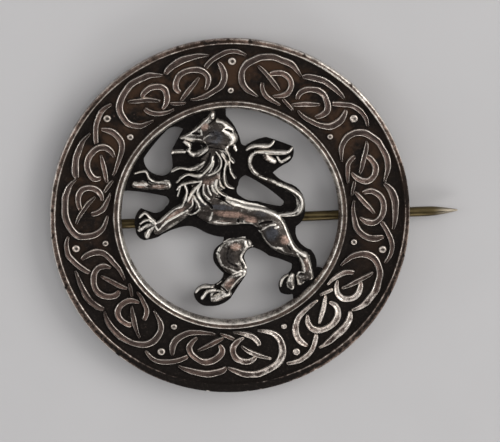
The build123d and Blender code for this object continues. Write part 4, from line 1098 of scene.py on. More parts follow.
@dataclass
class Interlace:
    """Seven panels of interlaced ribbons on the border's floor, with a pair of dots between two panels."""

    panel_count: int = 7
    first_panel_deg: float = 141.0
    inner_foot_radius: float = 15.8
    outer_foot_radius: float = 23.1
    floor: float = 3.45
    strand_width: float = 0.86
    strand_rise: float = 0.42
    strand_sink: float = 0.04
    over_lift: float = 0.05
    over: tuple[str, ...] = ("left_bar", "lower_crescent", "foot", "top_leaf", "right_bar", "link")
    step_length: float = 0.15
    end_round: float = 0.32
    waver: float = 0.1
    waver_scale: float = 0.34
    section_points: int = 21
    section_lift: tuple = ((0, 0), (0.07, 0.62), (0.15, 0.985), (0.23, 0.96), (0.36, 0.76), (0.5, 0.7))
    section_wear: tuple = ((0, 0), (0.04, 0.5), (0.08, 1), (0.14, 1), (0.21, 0.2), (0.5, 0.04))
    tanned: tuple = ((-52, 36, 0.55),)
    dot_radius: float = 0.5
    dot_rise: float = 0.36
    dot_drift: float = 0.1
    dot_seed: int = 29

    def on_panel(self, along: float, across: float) -> tuple[float, float, float]:
        """A place on the floor of the first panel."""
        angle = radians(self.first_panel_deg - along / 100 * 360 / self.panel_count)
        radius = self.inner_foot_radius + across / 100 * (self.outer_foot_radius - self.inner_foot_radius)
        return radius * cos(angle), radius * sin(angle), self.floor

    def rails(self) -> tuple[list, list, dict[str, list[float]]]:
        """The strands' middle lines as points and edges, with their half widths, rises and tones."""
        points, edges, marks = [], [], {"half_width": [], "rise": [], "tone": []}
        for number, (name, rows) in enumerate(STRANDS.items()):
            lift = self.over_lift if name in self.over else 0.0
            edges += [(i, i + 1) for i in range(len(points), len(points) + len(rows) - 1)]
            for stop in (Stop(*row) for row in rows):
                points.append(self.on_panel(stop.along, stop.across))
                marks["half_width"].append(self.strand_width * stop.width / 200)
                marks["rise"].append(self.strand_rise * stop.rise / 100 + lift)
                marks["tone"].append(number * 7 % 10 / 10 - 0.45)
        return points, edges, marks

    @staticmethod
    def across_section(bench: Bench, place: Socket, half: tuple) -> Socket:
        """A number read off a curve across a ribbon, which is given over its first half and mirrored."""
        return bench.curve(place, [*half, *((1 - x, y) for x, y in half[-2::-1])])

    def tree(self) -> bpy.types.NodeTree:
        """Geometry nodes that lay a grooved ribbon along each rail and set the panel round the ring."""
        bench, given, result = new_tree(
            "GeometryNodeTree", "interlace", {"Rails": "Geometry", "Step": 0.15, "End Round": 0.3, "Waver": 0.1,
                                              "Panels": 7, "Metal": "Material"}, {"Ribbons": "Geometry"})
        line = bench.out("GeometryNodeMeshToCurve", {"Mesh": given["Rails"]})
        line = bench.out("GeometryNodeCurveSplineType", {"Curve": line}, spline_type="CATMULL_ROM")
        line = bench.out("GeometryNodeSetSplineResolution", {"Geometry": line, "Resolution": 12})
        line = bench.out("GeometryNodeResampleCurve", {"Curve": line, "Length": given["Step"]}, mode="LENGTH")
        reach = bench.out("GeometryNodeSplineParameter", wanted="Length")
        nearest = bench.maths("MINIMUM", reach, bench.minus(bench.out("GeometryNodeSplineLength"), reach))
        share = bench.maths("MINIMUM", bench.maths("DIVIDE", nearest, given["End Round"]), 1.0)
        round_end = bench.minus(1.0, bench.maths("POWER", bench.minus(1.0, share), 2.0))
        line = bench.store(line, "centre", bench.out("GeometryNodeInputPosition"), "FLOAT_VECTOR")
        line = bench.store(line, "way", bench.out("GeometryNodeInputTangent"), "FLOAT_VECTOR")
        line = bench.store(line, "rounding", bench.maths("SQRT", bench.maths("MAXIMUM", round_end, 0.02)))
        rule = bench.out("GeometryNodeCurvePrimitiveLine", {"Start": (-1, 0, 0), "End": (1, 0, 0)})
        rule = bench.out("GeometryNodeResampleCurve", {"Curve": rule, "Count": self.section_points}, mode="COUNT")
        place = bench.out("GeometryNodeSplineParameter")
        rule = bench.store(rule, "across", bench.minus(bench.times(place, 2.0), 1.0))
        rule = bench.store(rule, "lift", self.across_section(bench, place, self.section_lift))
        rule = bench.store(rule, "wear", self.across_section(bench, place, self.section_wear))
        rule = bench.out("GeometryNodeSetSplineCyclic", {"Geometry": rule, "Cyclic": True})
        ribbon = bench.out("GeometryNodeCurveToMesh", {"Curve": line, "Profile Curve": rule, "Fill Caps": True})
        side = bench.vector("NORMALIZE", bench.vector("CROSS_PRODUCT", bench.mark("way", "FLOAT_VECTOR"), (0, 0, 1)))
        out = bench.times(bench.mark("across"), bench.mark("half_width"), bench.mark("rounding"))
        up = bench.minus(bench.times(bench.mark("rise"), bench.mark("lift"), bench.mark("rounding")),
                         self.strand_sink)
        spot = bench.vector("ADD", bench.mark("centre", "FLOAT_VECTOR"), bench.scaled(side, out))
        spot = bench.vector("ADD", spot, bench.xyz(Z=up))
        ribbon = bench.out("GeometryNodeSetPosition", {"Geometry": ribbon, "Position": spot})
        whole = self.round_ring(bench, ribbon, given["Panels"])
        cloudy = bench.out("ShaderNodeTexNoise", {"Vector": bench.out("GeometryNodeInputPosition"),
                                                  "Scale": self.waver_scale, "Detail": 1.0}, "Color")
        drift = bench.scaled(bench.vector("SUBTRACT", cloudy, (0.5, 0.5, 0.5)), bench.times(given["Waver"], 6.0))
        whole = bench.out("GeometryNodeSetPosition", {"Geometry": whole,
                                                      "Offset": bench.vector("MULTIPLY", drift, (1, 1, 0.25))})
        bench.put(bench.out("GeometryNodeSetMaterial", {"Geometry": whole, "Material": given["Metal"]}),
                  result["Ribbons"])
        return bench.tree

    def dots_tree(self) -> bpy.types.NodeTree:
        """Geometry nodes that set a dot on each place of a panel, round the ring, each a little different."""
        bench, given, result = new_tree(
            "GeometryNodeTree", "dots", {"Places": "Geometry", "Dot": "Object", "Panels": 7, "Drift": 0.1, "Seed": 29,
                                         "Metal": "Material"}, {"Dots": "Geometry"})
        places = self.round_ring(bench, given["Places"], given["Panels"])
        drift = bench.scaled(bench.chance(given["Seed"], "FLOAT_VECTOR", (-1, -1, 0), (1, 1, 0)), given["Drift"])
        places = bench.out("GeometryNodeSetPosition", {"Geometry": places, "Offset": drift})
        other_seed = bench.plus(given["Seed"], 1.0)
        dish = bench.times(bench.mark("hollow"), bench.chance(other_seed, "FLOAT", 0.4, 1.2))
        places = bench.store(places, "hollow", dish)
        size = bench.times(bench.mark("size"), bench.chance(other_seed, "FLOAT", 0.9, 1.06))
        wide = bench.vector("MULTIPLY_ADD", (1.0, 0.94, 0.0), bench.xyz(X=size, Y=size), (0, 0, 1))
        blank = bench.out("GeometryNodeObjectInfo", {"Object": given["Dot"]}, "Geometry")
        whole = bench.out("GeometryNodeInstanceOnPoints", {"Points": places, "Instance": blank, "Scale": wide})
        whole = bench.out("GeometryNodeRealizeInstances", {"Geometry": whole})
        sunk = bench.times(bench.mark("dish"), bench.mark("hollow"), -1.0)
        whole = bench.out("GeometryNodeSetPosition", {"Geometry": whole, "Offset": bench.xyz(Z=sunk)})
        bench.put(bench.out("GeometryNodeSetMaterial", {"Geometry": whole, "Material": given["Metal"]}),
                  result["Dots"])
        return bench.tree

    @staticmethod
    def round_ring(bench: Bench, piece: Socket, panels: Socket) -> Socket:
        """A panel's geometry set round the ring once a panel, clockwise."""
        posts = bench.out("GeometryNodePoints", {"Count": panels})
        turn = bench.times(bench.maths("DIVIDE", bench.out("GeometryNodeInputIndex"), panels), -tau)
        round_z = bench.out("FunctionNodeEulerToRotation", {0: bench.xyz(Z=turn)})
        copies = bench.out("GeometryNodeInstanceOnPoints", {"Points": posts, "Instance": piece, "Rotation": round_z})
        return bench.out("GeometryNodeRealizeInstances", {"Geometry": copies})

    def build(self, setting: Setting, finish: SilverFinish) -> bpy.types.Object:
        """The ribbons of all the panels as one piece."""
        metal = finish.material()
        points, faces, found = run_tree(*self.rails(), self.tree(), {
            "Step": self.step_length, "End Round": self.end_round, "Waver": self.waver, "Panels": self.panel_count,
            "Metal": metal})
        angles, tone = np.arctan2(points[:, 1], points[:, 0]), found["tone"]
        marks = {
            "wear": found["wear"] + worn_extra(angles) + wash(angles, 17, 0.04, 90) + 0.12 * tone,
            # Darker towards the floor between the strands: soot and painted shade.
            "soot": 1 - smooth_step((points[:, 2] - self.floor - 0.02) / 0.2),
            "bloom": 0.4 + 0.5 * tone + worn_extra(angles, self.tanned) + wash(angles, 19, 0.12, 30),
        }
        return new_object("interlace", Shape(points, faces, marks), setting, metal)

    def dot(self) -> Shape:
        """One dot: a low dome, with how far each point sinks where its middle is worn hollow."""
        rows = np.array([
            (0.02, self.dot_rise, 0.35, 0.1), (0.3, self.dot_rise, 0.35, 0.09), (0.55, self.dot_rise - 0.01, 0.9, 0),
            (0.72, self.dot_rise, 1.0, 0), (0.88, self.dot_rise - 0.1, 0.6, 0), (1.0, 0.1, 0.1, 0),
            (1.02, -0.05, 0.0, 0), (0.02, -0.05, 0.0, 0),
        ])
        rows[:, 0] *= self.dot_radius
        return turned(rows[:, :2], 20, {"wear": rows[:, 2], "dish": rows[:, 3]})

    def dots(self, setting: Setting, finish: SilverFinish) -> bpy.types.Object:
        """The pairs of dots between the panels, each a little different from the next."""
        metal = finish.material()
        blank = new_object("dot", self.dot(), Setting(0.0, 0.0, 1.0))
        places = [self.on_panel(along, across) for along, across, _, _ in DOTS]
        given = {"size": [row[2] / 100 for row in DOTS], "hollow": [row[3] / 100 for row in DOTS]}
        points, faces, found = run_tree(places, [], given, self.dots_tree(), {
            "Dot": blank, "Panels": self.panel_count, "Drift": self.dot_drift, "Seed": self.dot_seed, "Metal": metal})
        bpy.data.objects.remove(blank)
        marks = {"wear": found["wear"] + worn_extra(np.arctan2(points[:, 1], points[:, 0])),
                 # Darker towards the floor: soot and painted shade.
                 "soot": 1 - smooth_step((points[:, 2] - self.floor) / 0.16), "bloom": np.zeros(len(points))}
        return new_object("dots", Shape(points, faces, marks), setting, metal)


@dataclass
class Relief:
    """The figure's surface as heights on a grid, in hundredths of the relief, with its wear and painted highlight,
    its soot and painted shade, and its bloom and painted dark reflection.
    """

    reach: float
    spacing: float
    xs: np.ndarray = field(init=False)
    height: np.ndarray = field(init=False)
    wear: np.ndarray = field(init=False)
    soot: np.ndarray = field(init=False)
    bloom: np.ndarray = field(init=False)

    def __post_init__(self) -> None:
        """Lays out the grid."""
        count = int(2 * self.reach / self.spacing) + 1
        self.xs = np.linspace(-self.reach, self.reach, count)
        self.spacing = self.xs[1] - self.xs[0]
        self.height, self.wear, self.soot, self.bloom = (np.zeros((count, count)) for _ in range(4))

    def window(self, start: np.ndarray, end: np.ndarray, wide: float) -> tuple:
        """The part of the grid round two places, as slices, and its places."""
        low = (np.minimum(start[:2], end[:2]) - wide + self.reach) / self.spacing
        high = (np.maximum(start[:2], end[:2]) + wide + self.reach) / self.spacing
        x_cut, y_cut = (slice(max(0, int(low[i])), min(len(self.xs), int(high[i]) + 2)) for i in range(2))
        return (y_cut, x_cut), self.xs[x_cut][None, :], self.xs[y_cut][:, None]

    def along(self, rows: Sequence[Sequence[float]]) -> tuple[np.ndarray, np.ndarray]:
        """How each place lies to a stroke.

        Args:
            rows: x, y, half width and, where it has one, crest.

        Returns:
            The distance from the stroke's middle line over its half width, and the stroke's crest there.
        """
        ribs = eased(rows, 1.6)
        share, crest = np.full(self.height.shape, 9.0), np.zeros(self.height.shape)
        for start, end in zip(ribs, ribs[1:]):
            cut, x, y = self.window(start, end, max(start[2], end[2]) * 1.05)
            dx, dy = end[0] - start[0], end[1] - start[1]
            t = np.clip(((x - start[0]) * dx + (y - start[1]) * dy) / max(dx * dx + dy * dy, 1e-9), 0, 1)
            away = np.hypot(x - start[0] - t * dx, y - start[1] - t * dy) / (start[2] + t * (end[2] - start[2]))
            nearer = away < share[cut]
            share[cut] = np.where(nearer, away, share[cut])
            if len(start) > 3:
                crest[cut] = np.where(nearer, start[3] + t * (end[3] - start[3]), crest[cut])
        return share, crest

    def raise_part(self, rows: Sequence[Sequence[float]], crown: Crown, melt: float) -> None:
        """Raises a part, melted into what it lies on by so much of the relief."""
        share, crest = self.along(rows)
        part = crest * crown.height(share)
        higher = np.maximum(self.height, part)
        if melt:
            close = np.clip(1 - np.abs(self.height - part) / melt, 0, 1) * (np.minimum(self.height, part) > 0)
            higher = higher + melt * close ** 2 / 4
        self.height = higher

    def draw_edge(self, line: Line, spread: float) -> None:
        """Lifts and brightens a line, as worn silver and painted highlight, made wider by the spread."""
        share = self.along(line.points)[0] / spread
        bead = Crown.BEAD.height(share)
        self.height += line.lift * bead
        self.wear = np.maximum(self.wear, line.wear * Crown.BEAD.height(share * 0.82))
        self.soot *= 1 - 0.9 * bead

    def sink(self, line: Line) -> None:
        """Sinks a line and blackens it, as soot and painted shade."""
        bead = Crown.BEAD.height(self.along(line.points)[0])
        self.height = np.maximum(self.height - line.lift * bead, 0)
        self.soot = np.maximum(self.soot, line.wear * bead)

    def patched(self, areas: Sequence[Patch]) -> np.ndarray:
        """The strength of patches over the grid, added up."""
        total = np.zeros(self.height.shape)
        for area in areas:
            x, y = self.xs[None, :] - area.x, self.xs[:, None] - area.y
            c, s = cos(radians(area.turn)), sin(radians(area.turn))
            away = np.hypot((x * c + y * s) / area.long, (-x * s + y * c) / area.short)
            total += area.strength * (1 - smooth_step((away - 0.45) / 0.75))
        return total


def ring_of(points: Sequence[tuple[float, float]], steps: int = 7) -> np.ndarray:
    """A run of arcs as a closed ring of points, each arc through the point between its ends."""
    given = [Vector((*point, 0)) for point in (*points, points[0])]
    result = []
    for start, middle, end in zip(given[:-2:2], given[1::2], given[2::2]):
        a, b = middle - start, end - start
        normal = a.cross(b)
        if normal.length < 1e-3 * b.length ** 2:
            result += [start.lerp(end, j / steps) for j in range(steps)]
            continue
        centre = start + (b.length_squared * normal.cross(a) + a.length_squared * b.cross(normal)) / (
            2 * normal.length_squared)
        spoke = start - centre
        span = spoke.angle(end - centre)
        if (middle - centre).dot((start + end) / 2 - centre) < 0:
            span = tau - span
        sense = 1 if normal.z > 0 else -1
        result += [centre + Matrix.Rotation(sense * span * j / steps, 3, "Z") @ spoke for j in range(steps)]
    return np.array([(point.x, point.y) for point in result])


def depth_in(ring: np.ndarray, x: np.ndarray, y: np.ndarray) -> np.ndarray:
    """How far places are inside a ring of points: over 0 inside it and under 0 outside.

    Args:
        ring: The ring's points.
        x: The places' x.
        y: The places' y.

    Returns:
        The distance to the ring, with its sign.
    """
    nearest, inside = np.full(x.shape, 1e9), np.zeros(x.shape, bool)
    for (x0, y0), (x1, y1) in zip(ring, np.roll(ring, -1, axis=0)):
        dx, dy = x1 - x0, y1 - y0
        t = np.clip(((x - x0) * dx + (y - y0) * dy) / max(dx * dx + dy * dy, 1e-9), 0, 1)
        nearest = np.minimum(nearest, (x - x0 - t * dx) ** 2 + (y - y0 - t * dy) ** 2)
        if y0 != y1:
            inside ^= ((y0 > y) != (y1 > y)) & (x < x0 + (y - y0) * dx / dy)
    return np.where(inside, 1, -1) * np.sqrt(nearest)


@dataclass
class Lion:
    """The rampant lion in relief on its pierced web."""

    hole_radius: float = 14.5
    seat: float = 0.25
    back: float = 2.7
    back_step: float = 0.08
    web_top: float = 3.35
    relief: float = 1.25
    reach: float = 103.0
    spacing: float = 0.6
    melt: float = 8.0
    edge_spread: float = 1.2
    # Which way the light comes from, for the painted highlight on the figure's slopes.
    light_from: tuple[float, float] = (0.5, 0.85)
    least_wear: float = 0.28
    base_wear: float = 0.14
    ridge_wear: float = 0.38
    corner_wear: float = 0.4
    black_to: float = 26.0
    snap: float = 0.22

    def surface(self) -> Relief:
        """The figure's heights and marks."""
        made = Relief(self.reach, self.spacing)
        for rows in LIMBS.values():
            made.raise_part(rows, Crown.LIMB, self.melt)
        for rows in PARTS.values():
            made.raise_part(rows, Crown.PART, 0)
        body = made.height.copy()
        for line in HOLLOWS:
            made.sink(line)
        for line in EDGES:
            made.draw_edge(line, self.edge_spread)
        made.bloom, rubbed_and_painted_light = made.patched(BLOOMS_AND_DARK_REFLECTIONS), made.patched(RUBBED_AND_DARK_REFLECTIONS)
        # Brighter on slopes that face the light at the upper right and dimmer on those that face away: painted
        # highlight.
        tilt_y, tilt_x = np.gradient(self.blurred(body, 8), made.spacing)
        facing_light = -(self.light_from[0] * tilt_x + self.light_from[1] * tilt_y) / (np.hypot(tilt_x, tilt_y) + 0.8)
        uneven = cloud(made.xs, 31, 0.28) + cloud(made.xs, 37, 0.16, 2.5, 7.0)
        made.wear *= np.clip(0.82 + 0.34 * facing_light + uneven, self.least_wear, 1.15)
        convex, stands = (made.height - self.blurred(made.height, times) for times in (2, 14))
        # Ridges are worn bare, more on the side that faces the light: wear and painted highlight.
        ridge_wear_and_highlight = np.clip(stands * 0.045, 0, self.ridge_wear) * np.clip(0.6 + 0.7 * facing_light, 0, 1)
        corner = np.clip(convex * 0.12, 0, self.corner_wear)
        made.wear = np.clip(made.wear + corner + ridge_wear_and_highlight + rubbed_and_painted_light + self.base_wear, 0, 1.2)
        # Black low down by the web and in hollows: tarnish and painted shade.
        low = 1 - smooth_step((body - 6) / self.black_to)
        gathered_soot_and_shade = np.clip(-convex * 0.22, 0, 0.8) + np.clip(-stands * 0.07, 0, 0.6) - 0.3 * np.maximum(rubbed_and_painted_light, 0)
        made.soot = np.clip(np.maximum(made.soot, low) + gathered_soot_and_shade, 0, 1)
        made.soot *= 1 - 0.8 * smooth_step((made.wear - 0.45) / 0.3)
        return made

    @staticmethod
    def blurred(grid: np.ndarray, times: int) -> np.ndarray:
        """A grid with each place evened out with its neighbours, so many times."""
        for _ in range(times):
            grid = sum((np.roll(grid, shift, axis) for axis in (0, 1) for shift in (1, -1)), grid) / 5
        return grid

    def outline_depth(self, x: np.ndarray, y: np.ndarray) -> np.ndarray:
        """How far places are inside the web's metal."""
        depth = 100 * (1 + self.seat / self.hole_radius) - np.hypot(x, y)
        for points in OPENINGS.values():
            depth = np.minimum(depth, -depth_in(ring_of(points), x, y))
        return depth

    @staticmethod
    def split_squares(high: np.ndarray, count: int) -> np.ndarray:
        """A square grid's places as triangles that face up, each square split along its flatter diagonal."""
        corner = np.arange(count * count).reshape(count, count)
        a, b, c, d = (part.ravel() for part in (corner[:-1, :-1], corner[:-1, 1:], corner[1:, 1:], corner[1:, :-1]))
        forward = (np.abs(high[a] - high[c]) <= np.abs(high[b] - high[d]))[:, None]
        first = np.where(forward, np.stack([a, b, c], 1), np.stack([a, b, d], 1))
        second = np.where(forward, np.stack([a, c, d], 1), np.stack([b, c, d], 1))
        return np.concatenate([first, second])

    @staticmethod
    def trimmed(data: np.ndarray, depth: np.ndarray, triangles: np.ndarray) -> tuple[np.ndarray, np.ndarray]:
        """Triangles cut where the depth is 0.

        Args:
            data: A row of numbers for each point.
            depth: How far inside each point is.
            triangles: The triangles between the points.

        Returns:
            The rows with those of the cut's points after them, and the triangles that are left.
        """
        kept = depth[triangles] > 0
        total = kept.sum(axis=1)
        result, cuts = [triangles[total == 3]], []
        for wanted in (1, 2):
            cut, inside = triangles[total == wanted], kept[total == wanted]
            odd = np.argmax(inside if wanted == 1 else ~inside, axis=1)
            cuts.append([cut[np.arange(len(cut)), (odd + k) % 3] for k in range(3)])
        ends = np.concatenate([np.stack([p, other], 1) for p, q, r in cuts for other in (q, r)])
        edges, index = np.unique(np.sort(ends, axis=1), axis=0, return_inverse=True)
        share = depth[edges[:, 0]] / (depth[edges[:, 0]] - depth[edges[:, 1]])
        fresh = data[edges[:, 0]] + share[:, None] * (data[edges[:, 1]] - data[edges[:, 0]])
        sizes = np.cumsum([len(cuts[0][0]), len(cuts[0][0]), len(cuts[1][0])])
        first_pq, first_pr, second_pq, second_pr = np.split(index.ravel() + len(data), sizes)
        (p, _, _), (_, q, r) = cuts
        result += [np.stack([p, first_pq, first_pr], 1), np.stack([second_pq, q, r], 1),
                   np.stack([second_pq, r, second_pr], 1)]
        return np.concatenate([data, fresh]), np.concatenate(result)

    def sheet(self, surface: Relief) -> tuple[np.ndarray, np.ndarray]:
        """The grid cut to the web's outline.

        Args:
            surface: The figure's surface.

        Returns:
            Points with x, y, height, wear, soot and bloom, and triangles that face up.
        """
        x, y = np.meshgrid(surface.xs, surface.xs)
        depth = self.outline_depth(x, y)
        slope_y, slope_x = np.gradient(depth, surface.spacing)
        near = np.abs(depth) < self.snap * surface.spacing
        x, y = np.where(near, x - depth * slope_x, x), np.where(near, y - depth * slope_y, y)
        depth = np.where(near, 1e-7, depth).ravel()
        grids = (x, y, surface.height, surface.wear, surface.soot, surface.bloom)
        data = np.stack([grid.ravel() for grid in grids], axis=1)
        whole, faces = self.trimmed(data, depth, self.split_squares(data[:, 2], len(surface.xs)))
        used, faces = np.unique(faces, return_inverse=True)
        whole, faces = whole[used], faces.reshape(-1, 3)
        _, first, same = np.unique(np.round(whole[:, :2] / (0.05 * surface.spacing)), axis=0, return_index=True,
                                   return_inverse=True)
        faces = same.ravel()[faces]
        apart = (faces[:, 0] != faces[:, 1]) & (faces[:, 1] != faces[:, 2]) & (faces[:, 2] != faces[:, 0])
        return whole[first], faces[apart]

    @staticmethod
    def rim_edges(faces: np.ndarray) -> np.ndarray:
        """The edges that have a triangle on one side only, in that triangle's sense."""
        edges = np.concatenate([faces[:, [0, 1]], faces[:, [1, 2]], faces[:, [2, 0]]])
        _, index, count = np.unique(np.sort(edges, axis=1), axis=0, return_inverse=True, return_counts=True)
        return edges[count[index.ravel()] == 1]

    @staticmethod
    def back_faces(places: np.ndarray, edges: np.ndarray) -> list:
        """Triangles that fill the web's outline, facing up.

        Args:
            places: The outline's points.
            edges: Its edges, with the metal on their left.

        Returns:
            The triangles, as numbers of points.
        """
        made = delaunay_2d_cdt([Vector(place) for place in places.tolist()], edges.tolist(), [], 0, 1e-6)
        triangles = [tuple(made[3][corner][0] for corner in face) for face in made[2]]
        bounds = {tuple(edge) for edge in edges.tolist()}
        beside: dict[tuple, list[int]] = {}
        inside: dict[int, bool] = {}
        for number, face in enumerate(triangles):
            for edge in zip(face, face[1:] + face[:1]):
                if edge in bounds or edge[::-1] in bounds:
                    inside[number] = edge in bounds
                else:
                    beside.setdefault(tuple(sorted(edge)), []).append(number)
        links: dict[int, list[int]] = {}
        for pair in beside.values():
            for one, other in zip(pair, pair[::-1]):
                links.setdefault(one, []).append(other)
        waiting = list(inside)
        while waiting:
            number = waiting.pop()
            for other in links.get(number, []):
                if other not in inside:
                    inside[other] = inside[number]
                    waiting.append(other)
        return [face for number, face in enumerate(triangles) if inside.get(number)]

    def build(self, setting: Setting, finish: SilverFinish) -> bpy.types.Object:
        """The figure and its web as one closed piece."""
        data, faces = self.sheet(self.surface())
        rim = self.rim_edges(faces)
        places = data[:, :2] * self.hole_radius / 100
        ends, index = np.unique(rim, return_inverse=True)
        rim_index = index.reshape(-1, 2)
        count, size = len(data), len(ends)
        top = np.column_stack([places, self.web_top + self.relief * data[:, 2] / 100])
        lower, lowest = (np.column_stack([places[ends], np.full(size, level)])
                         for level in (self.back + self.back_step, self.back))
        points = np.concatenate([top, lower, lowest])
        walls = [(int(v), int(u), count + int(i), count + int(j)) for (u, v), (i, j) in zip(rim, rim_index)]
        walls += [(count + int(j), count + int(i), count + size + int(i), count + size + int(j))
                  for i, j in rim_index]
        under = [tuple(count + size + corner for corner in face[::-1])
                 for face in self.back_faces(places[ends], rim_index)]
        marks = {}
        # The web's side walls are nearly black: tarnish and painted shade.
        for column, name, side, behind in ((3, "wear", 0.3, 0.56), (4, "soot", 0.85, 0.02), (5, "bloom", 0.0, 0.5)):
            marks[name] = np.concatenate([data[:, column], np.full(size, side), np.full(size, behind)])
        return new_object("lion", Shape(points, faces.tolist() + walls + under, marks), setting, finish.material(),
                          outward=False)


@dataclass
class Findings:
    """The hinge's ears and the catch, soldered to the back, with the pin and its rivet."""

    pin_offset: float = -1.2
    pin_rise_deg: float = 2.1
    axis_height: float = 1.3
    back: float = 2.7
    solder_depth: float = 0.2
    hinge_distance: float = 19.8
    catch_distance: float = 19.2
    ear_width: float = 3.2
    ear_foot: float = 2.0
    ear_chamfer: float = 0.5
    ear_thickness: float = 1.0
    ear_bevel: float = 0.09
    knuckle_width: float = 3.0
    knuckle_radius: float = 1.05
    bore_radius: float = 0.45
    hinge_gap: float = 0.1
    hook_length: float = 3.0
    hook_thickness: float = 0.5
    hook_play: float = 1.05
    hook_lip: float = 0.95
    hook_clearance: float = 0.15
    hook_headroom: float = 0.25
    hook_bevel: float = 0.06
    wire_radius: float = 0.65
    root_swell: float = 0.25
    root_length: float = 3.0
    tip_reach: float = 30.55
    tip_taper: float = 4.2
    tip_radius: float = 0.12
    rivet_radius: float = 0.4
    rivet_head_radius: float = 0.67
    rivet_head_height: float = 0.2
    head_gap: float = 0.03

    def line(self, distance: float, height: float = 0.0) -> Matrix:
        """The place at a distance along the pin's line, turned to it."""
        return (Matrix.Translation((0, self.pin_offset, 0)) @ Matrix.Rotation(radians(self.pin_rise_deg), 4, "Z")
                @ Matrix.Translation((distance, 0, height)))

    def across(self, distance: float, height: float = 0.0) -> Matrix:
        """The place at a distance along the pin's line, turned square to it."""
        return self.line(distance, height) @ Matrix.Rotation(pi / 2, 4, "Z")

    @staticmethod
    def slab(outline: Sequence[tuple[float, float]], thickness: float, bevel: float) -> Shape:
        """An outline of x and z as a plate of that thickness across y, with its edges rounded over."""
        work = bmesh.new()
        front, behind = ([work.verts.new((x, y, z)) for x, z in outline] for y in (-thickness / 2, thickness / 2))
        work.faces.new(front)
        work.faces.new(behind[::-1])
        for i in range(len(outline)):
            j = (i + 1) % len(outline)
            work.faces.new((front[i], behind[i], behind[j], front[j]))
        bmesh.ops.recalc_face_normals(work, faces=work.faces)
        bmesh.ops.bevel(work, geom=list(work.edges), offset=bevel, segments=3, profile=0.6, affect="EDGES")
        bmesh.ops.triangulate(work, faces=[face for face in work.faces if len(face.verts) > 4])
        work.verts.index_update()
        points = np.array([vertex.co[:] for vertex in work.verts])
        faces = [tuple(vertex.index for vertex in face.verts) for face in work.faces]
        work.free()
        return Shape(points, faces, {})

    @staticmethod
    def marked(shape: Shape, wear: float, soot: float) -> Shape:
        """A shape with even marks."""
        size = len(shape.points)
        return Shape(shape.points, shape.faces, {
            "wear": np.full(size, wear), "soot": np.full(size, soot), "bloom": np.zeros(size)})

    def ears(self, setting: Setting, finish: SilverFinish) -> bpy.types.Object:
        """The two drilled ears."""
        half, foot, chamfer = self.ear_width / 2, self.ear_foot / 2, self.ear_chamfer
        side = [(foot, 0), (foot + chamfer / 2, chamfer), (half, self.axis_height),
                (half, self.back + self.solder_depth)]
        blank = self.slab([(-x, z) for x, z in side[::-1]] + side, self.ear_thickness, self.ear_bevel)
        out = self.knuckle_width / 2 + self.hinge_gap + self.ear_thickness / 2
        shapes = [moved(blank, self.line(-self.hinge_distance) @ Matrix.Translation((0, side * out, 0)))
                  for side in (1, -1)]
        made = new_object("hinge_ears", self.marked(joined(shapes), 0.42, 0.12), setting)
        drill = spun([(-2 * out, self.bore_radius), (2 * out, self.bore_radius)])
        tool = new_object("drill", moved(drill, self.across(-self.hinge_distance, self.axis_height)), setting)
        cut = made.modifiers.new("bore", "BOOLEAN")
        cut.operation, cut.object, cut.solver = "DIFFERENCE", tool, "EXACT"
        mesh = evaluated(made)
        bpy.data.objects.remove(tool)
        mesh.materials.clear()
        mesh.materials.append(finish.material())
        return linked("hinge_ears", mesh)

    def hook(self, setting: Setting, finish: SilverFinish) -> bpy.types.Object:
        """The catch: a strip bent to a C, open to the lower side."""
        mouth = -self.wire_radius - self.hook_lip
        inside = self.wire_radius + self.hook_play
        outside = inside + self.hook_thickness
        lower = self.axis_height - self.wire_radius - self.hook_clearance
        upper = self.axis_height + self.wire_radius + self.hook_headroom
        top, radius = self.back + self.solder_depth, self.hook_thickness * 0.9
        bend = [(outside - radius + radius * sin(t), radius - radius * cos(t)) for t in np.linspace(0.25, pi / 2, 6)]
        outline = [(mouth, 0.02), (outside - radius, 0), *bend, (outside, top), (mouth, top), (mouth, upper),
                   (inside, upper), (inside, lower + 0.12), (inside - 0.04, lower + 0.04), (inside - 0.12, lower),
                   (mouth + 0.1, lower - 0.02), (mouth, lower / 2)]
        strip = moved(self.slab(outline, self.hook_length, self.hook_bevel), self.across(self.catch_distance))
        return new_object("catch_hook", self.marked(strip, 0.45, 0.1), setting, finish.material())

    def stem(self, setting: Setting, finish: BrassFinish) -> bpy.types.Object:
        """The pin: its drilled knuckle, the swelling beyond it, and the wire with a tapered point."""
        length = self.hinge_distance + self.tip_reach
        wire, tip, swell = self.wire_radius, self.tip_radius, self.root_swell
        run = [(0.62, wire + swell * 0.92), (1.1, wire + swell * 0.75)]
        run += [(x, wire + swell * (1 - smooth_step(x / self.root_length)) * 0.8)
                for x in np.linspace(1.4, self.root_length, 6)]
        run += [(x, wire) for x in np.linspace(self.root_length + 1, length - self.tip_taper - 0.6, 24)]
        run += [(length - self.tip_taper * away, tip + (wire - tip) * sin(pi / 2 * away))
                for away in np.linspace(1, 0, 14)]
        run += [(length + 0.05, tip * 0.75), (length + 0.09, tip * 0.35)]
        half, bore, out = self.knuckle_width / 2, self.bore_radius, self.knuckle_radius
        side = [(bore, half - 0.06), (bore + 0.06, half), (out - 0.1, half), (out - 0.02, half - 0.04),
                (out, half - 0.14)]
        ring = np.array([(r, -y) for r, y in side] + [(out, 0.0)] + side[::-1] + [(bore, 0.0)])
        knuckle = moved(turned(ring, 40), Matrix.Rotation(pi / 2, 4, "X"))
        shape = moved(joined([spun(run), knuckle]), self.line(-self.hinge_distance, self.axis_height))
        return new_object("pin_wire", shape, setting, finish.material())

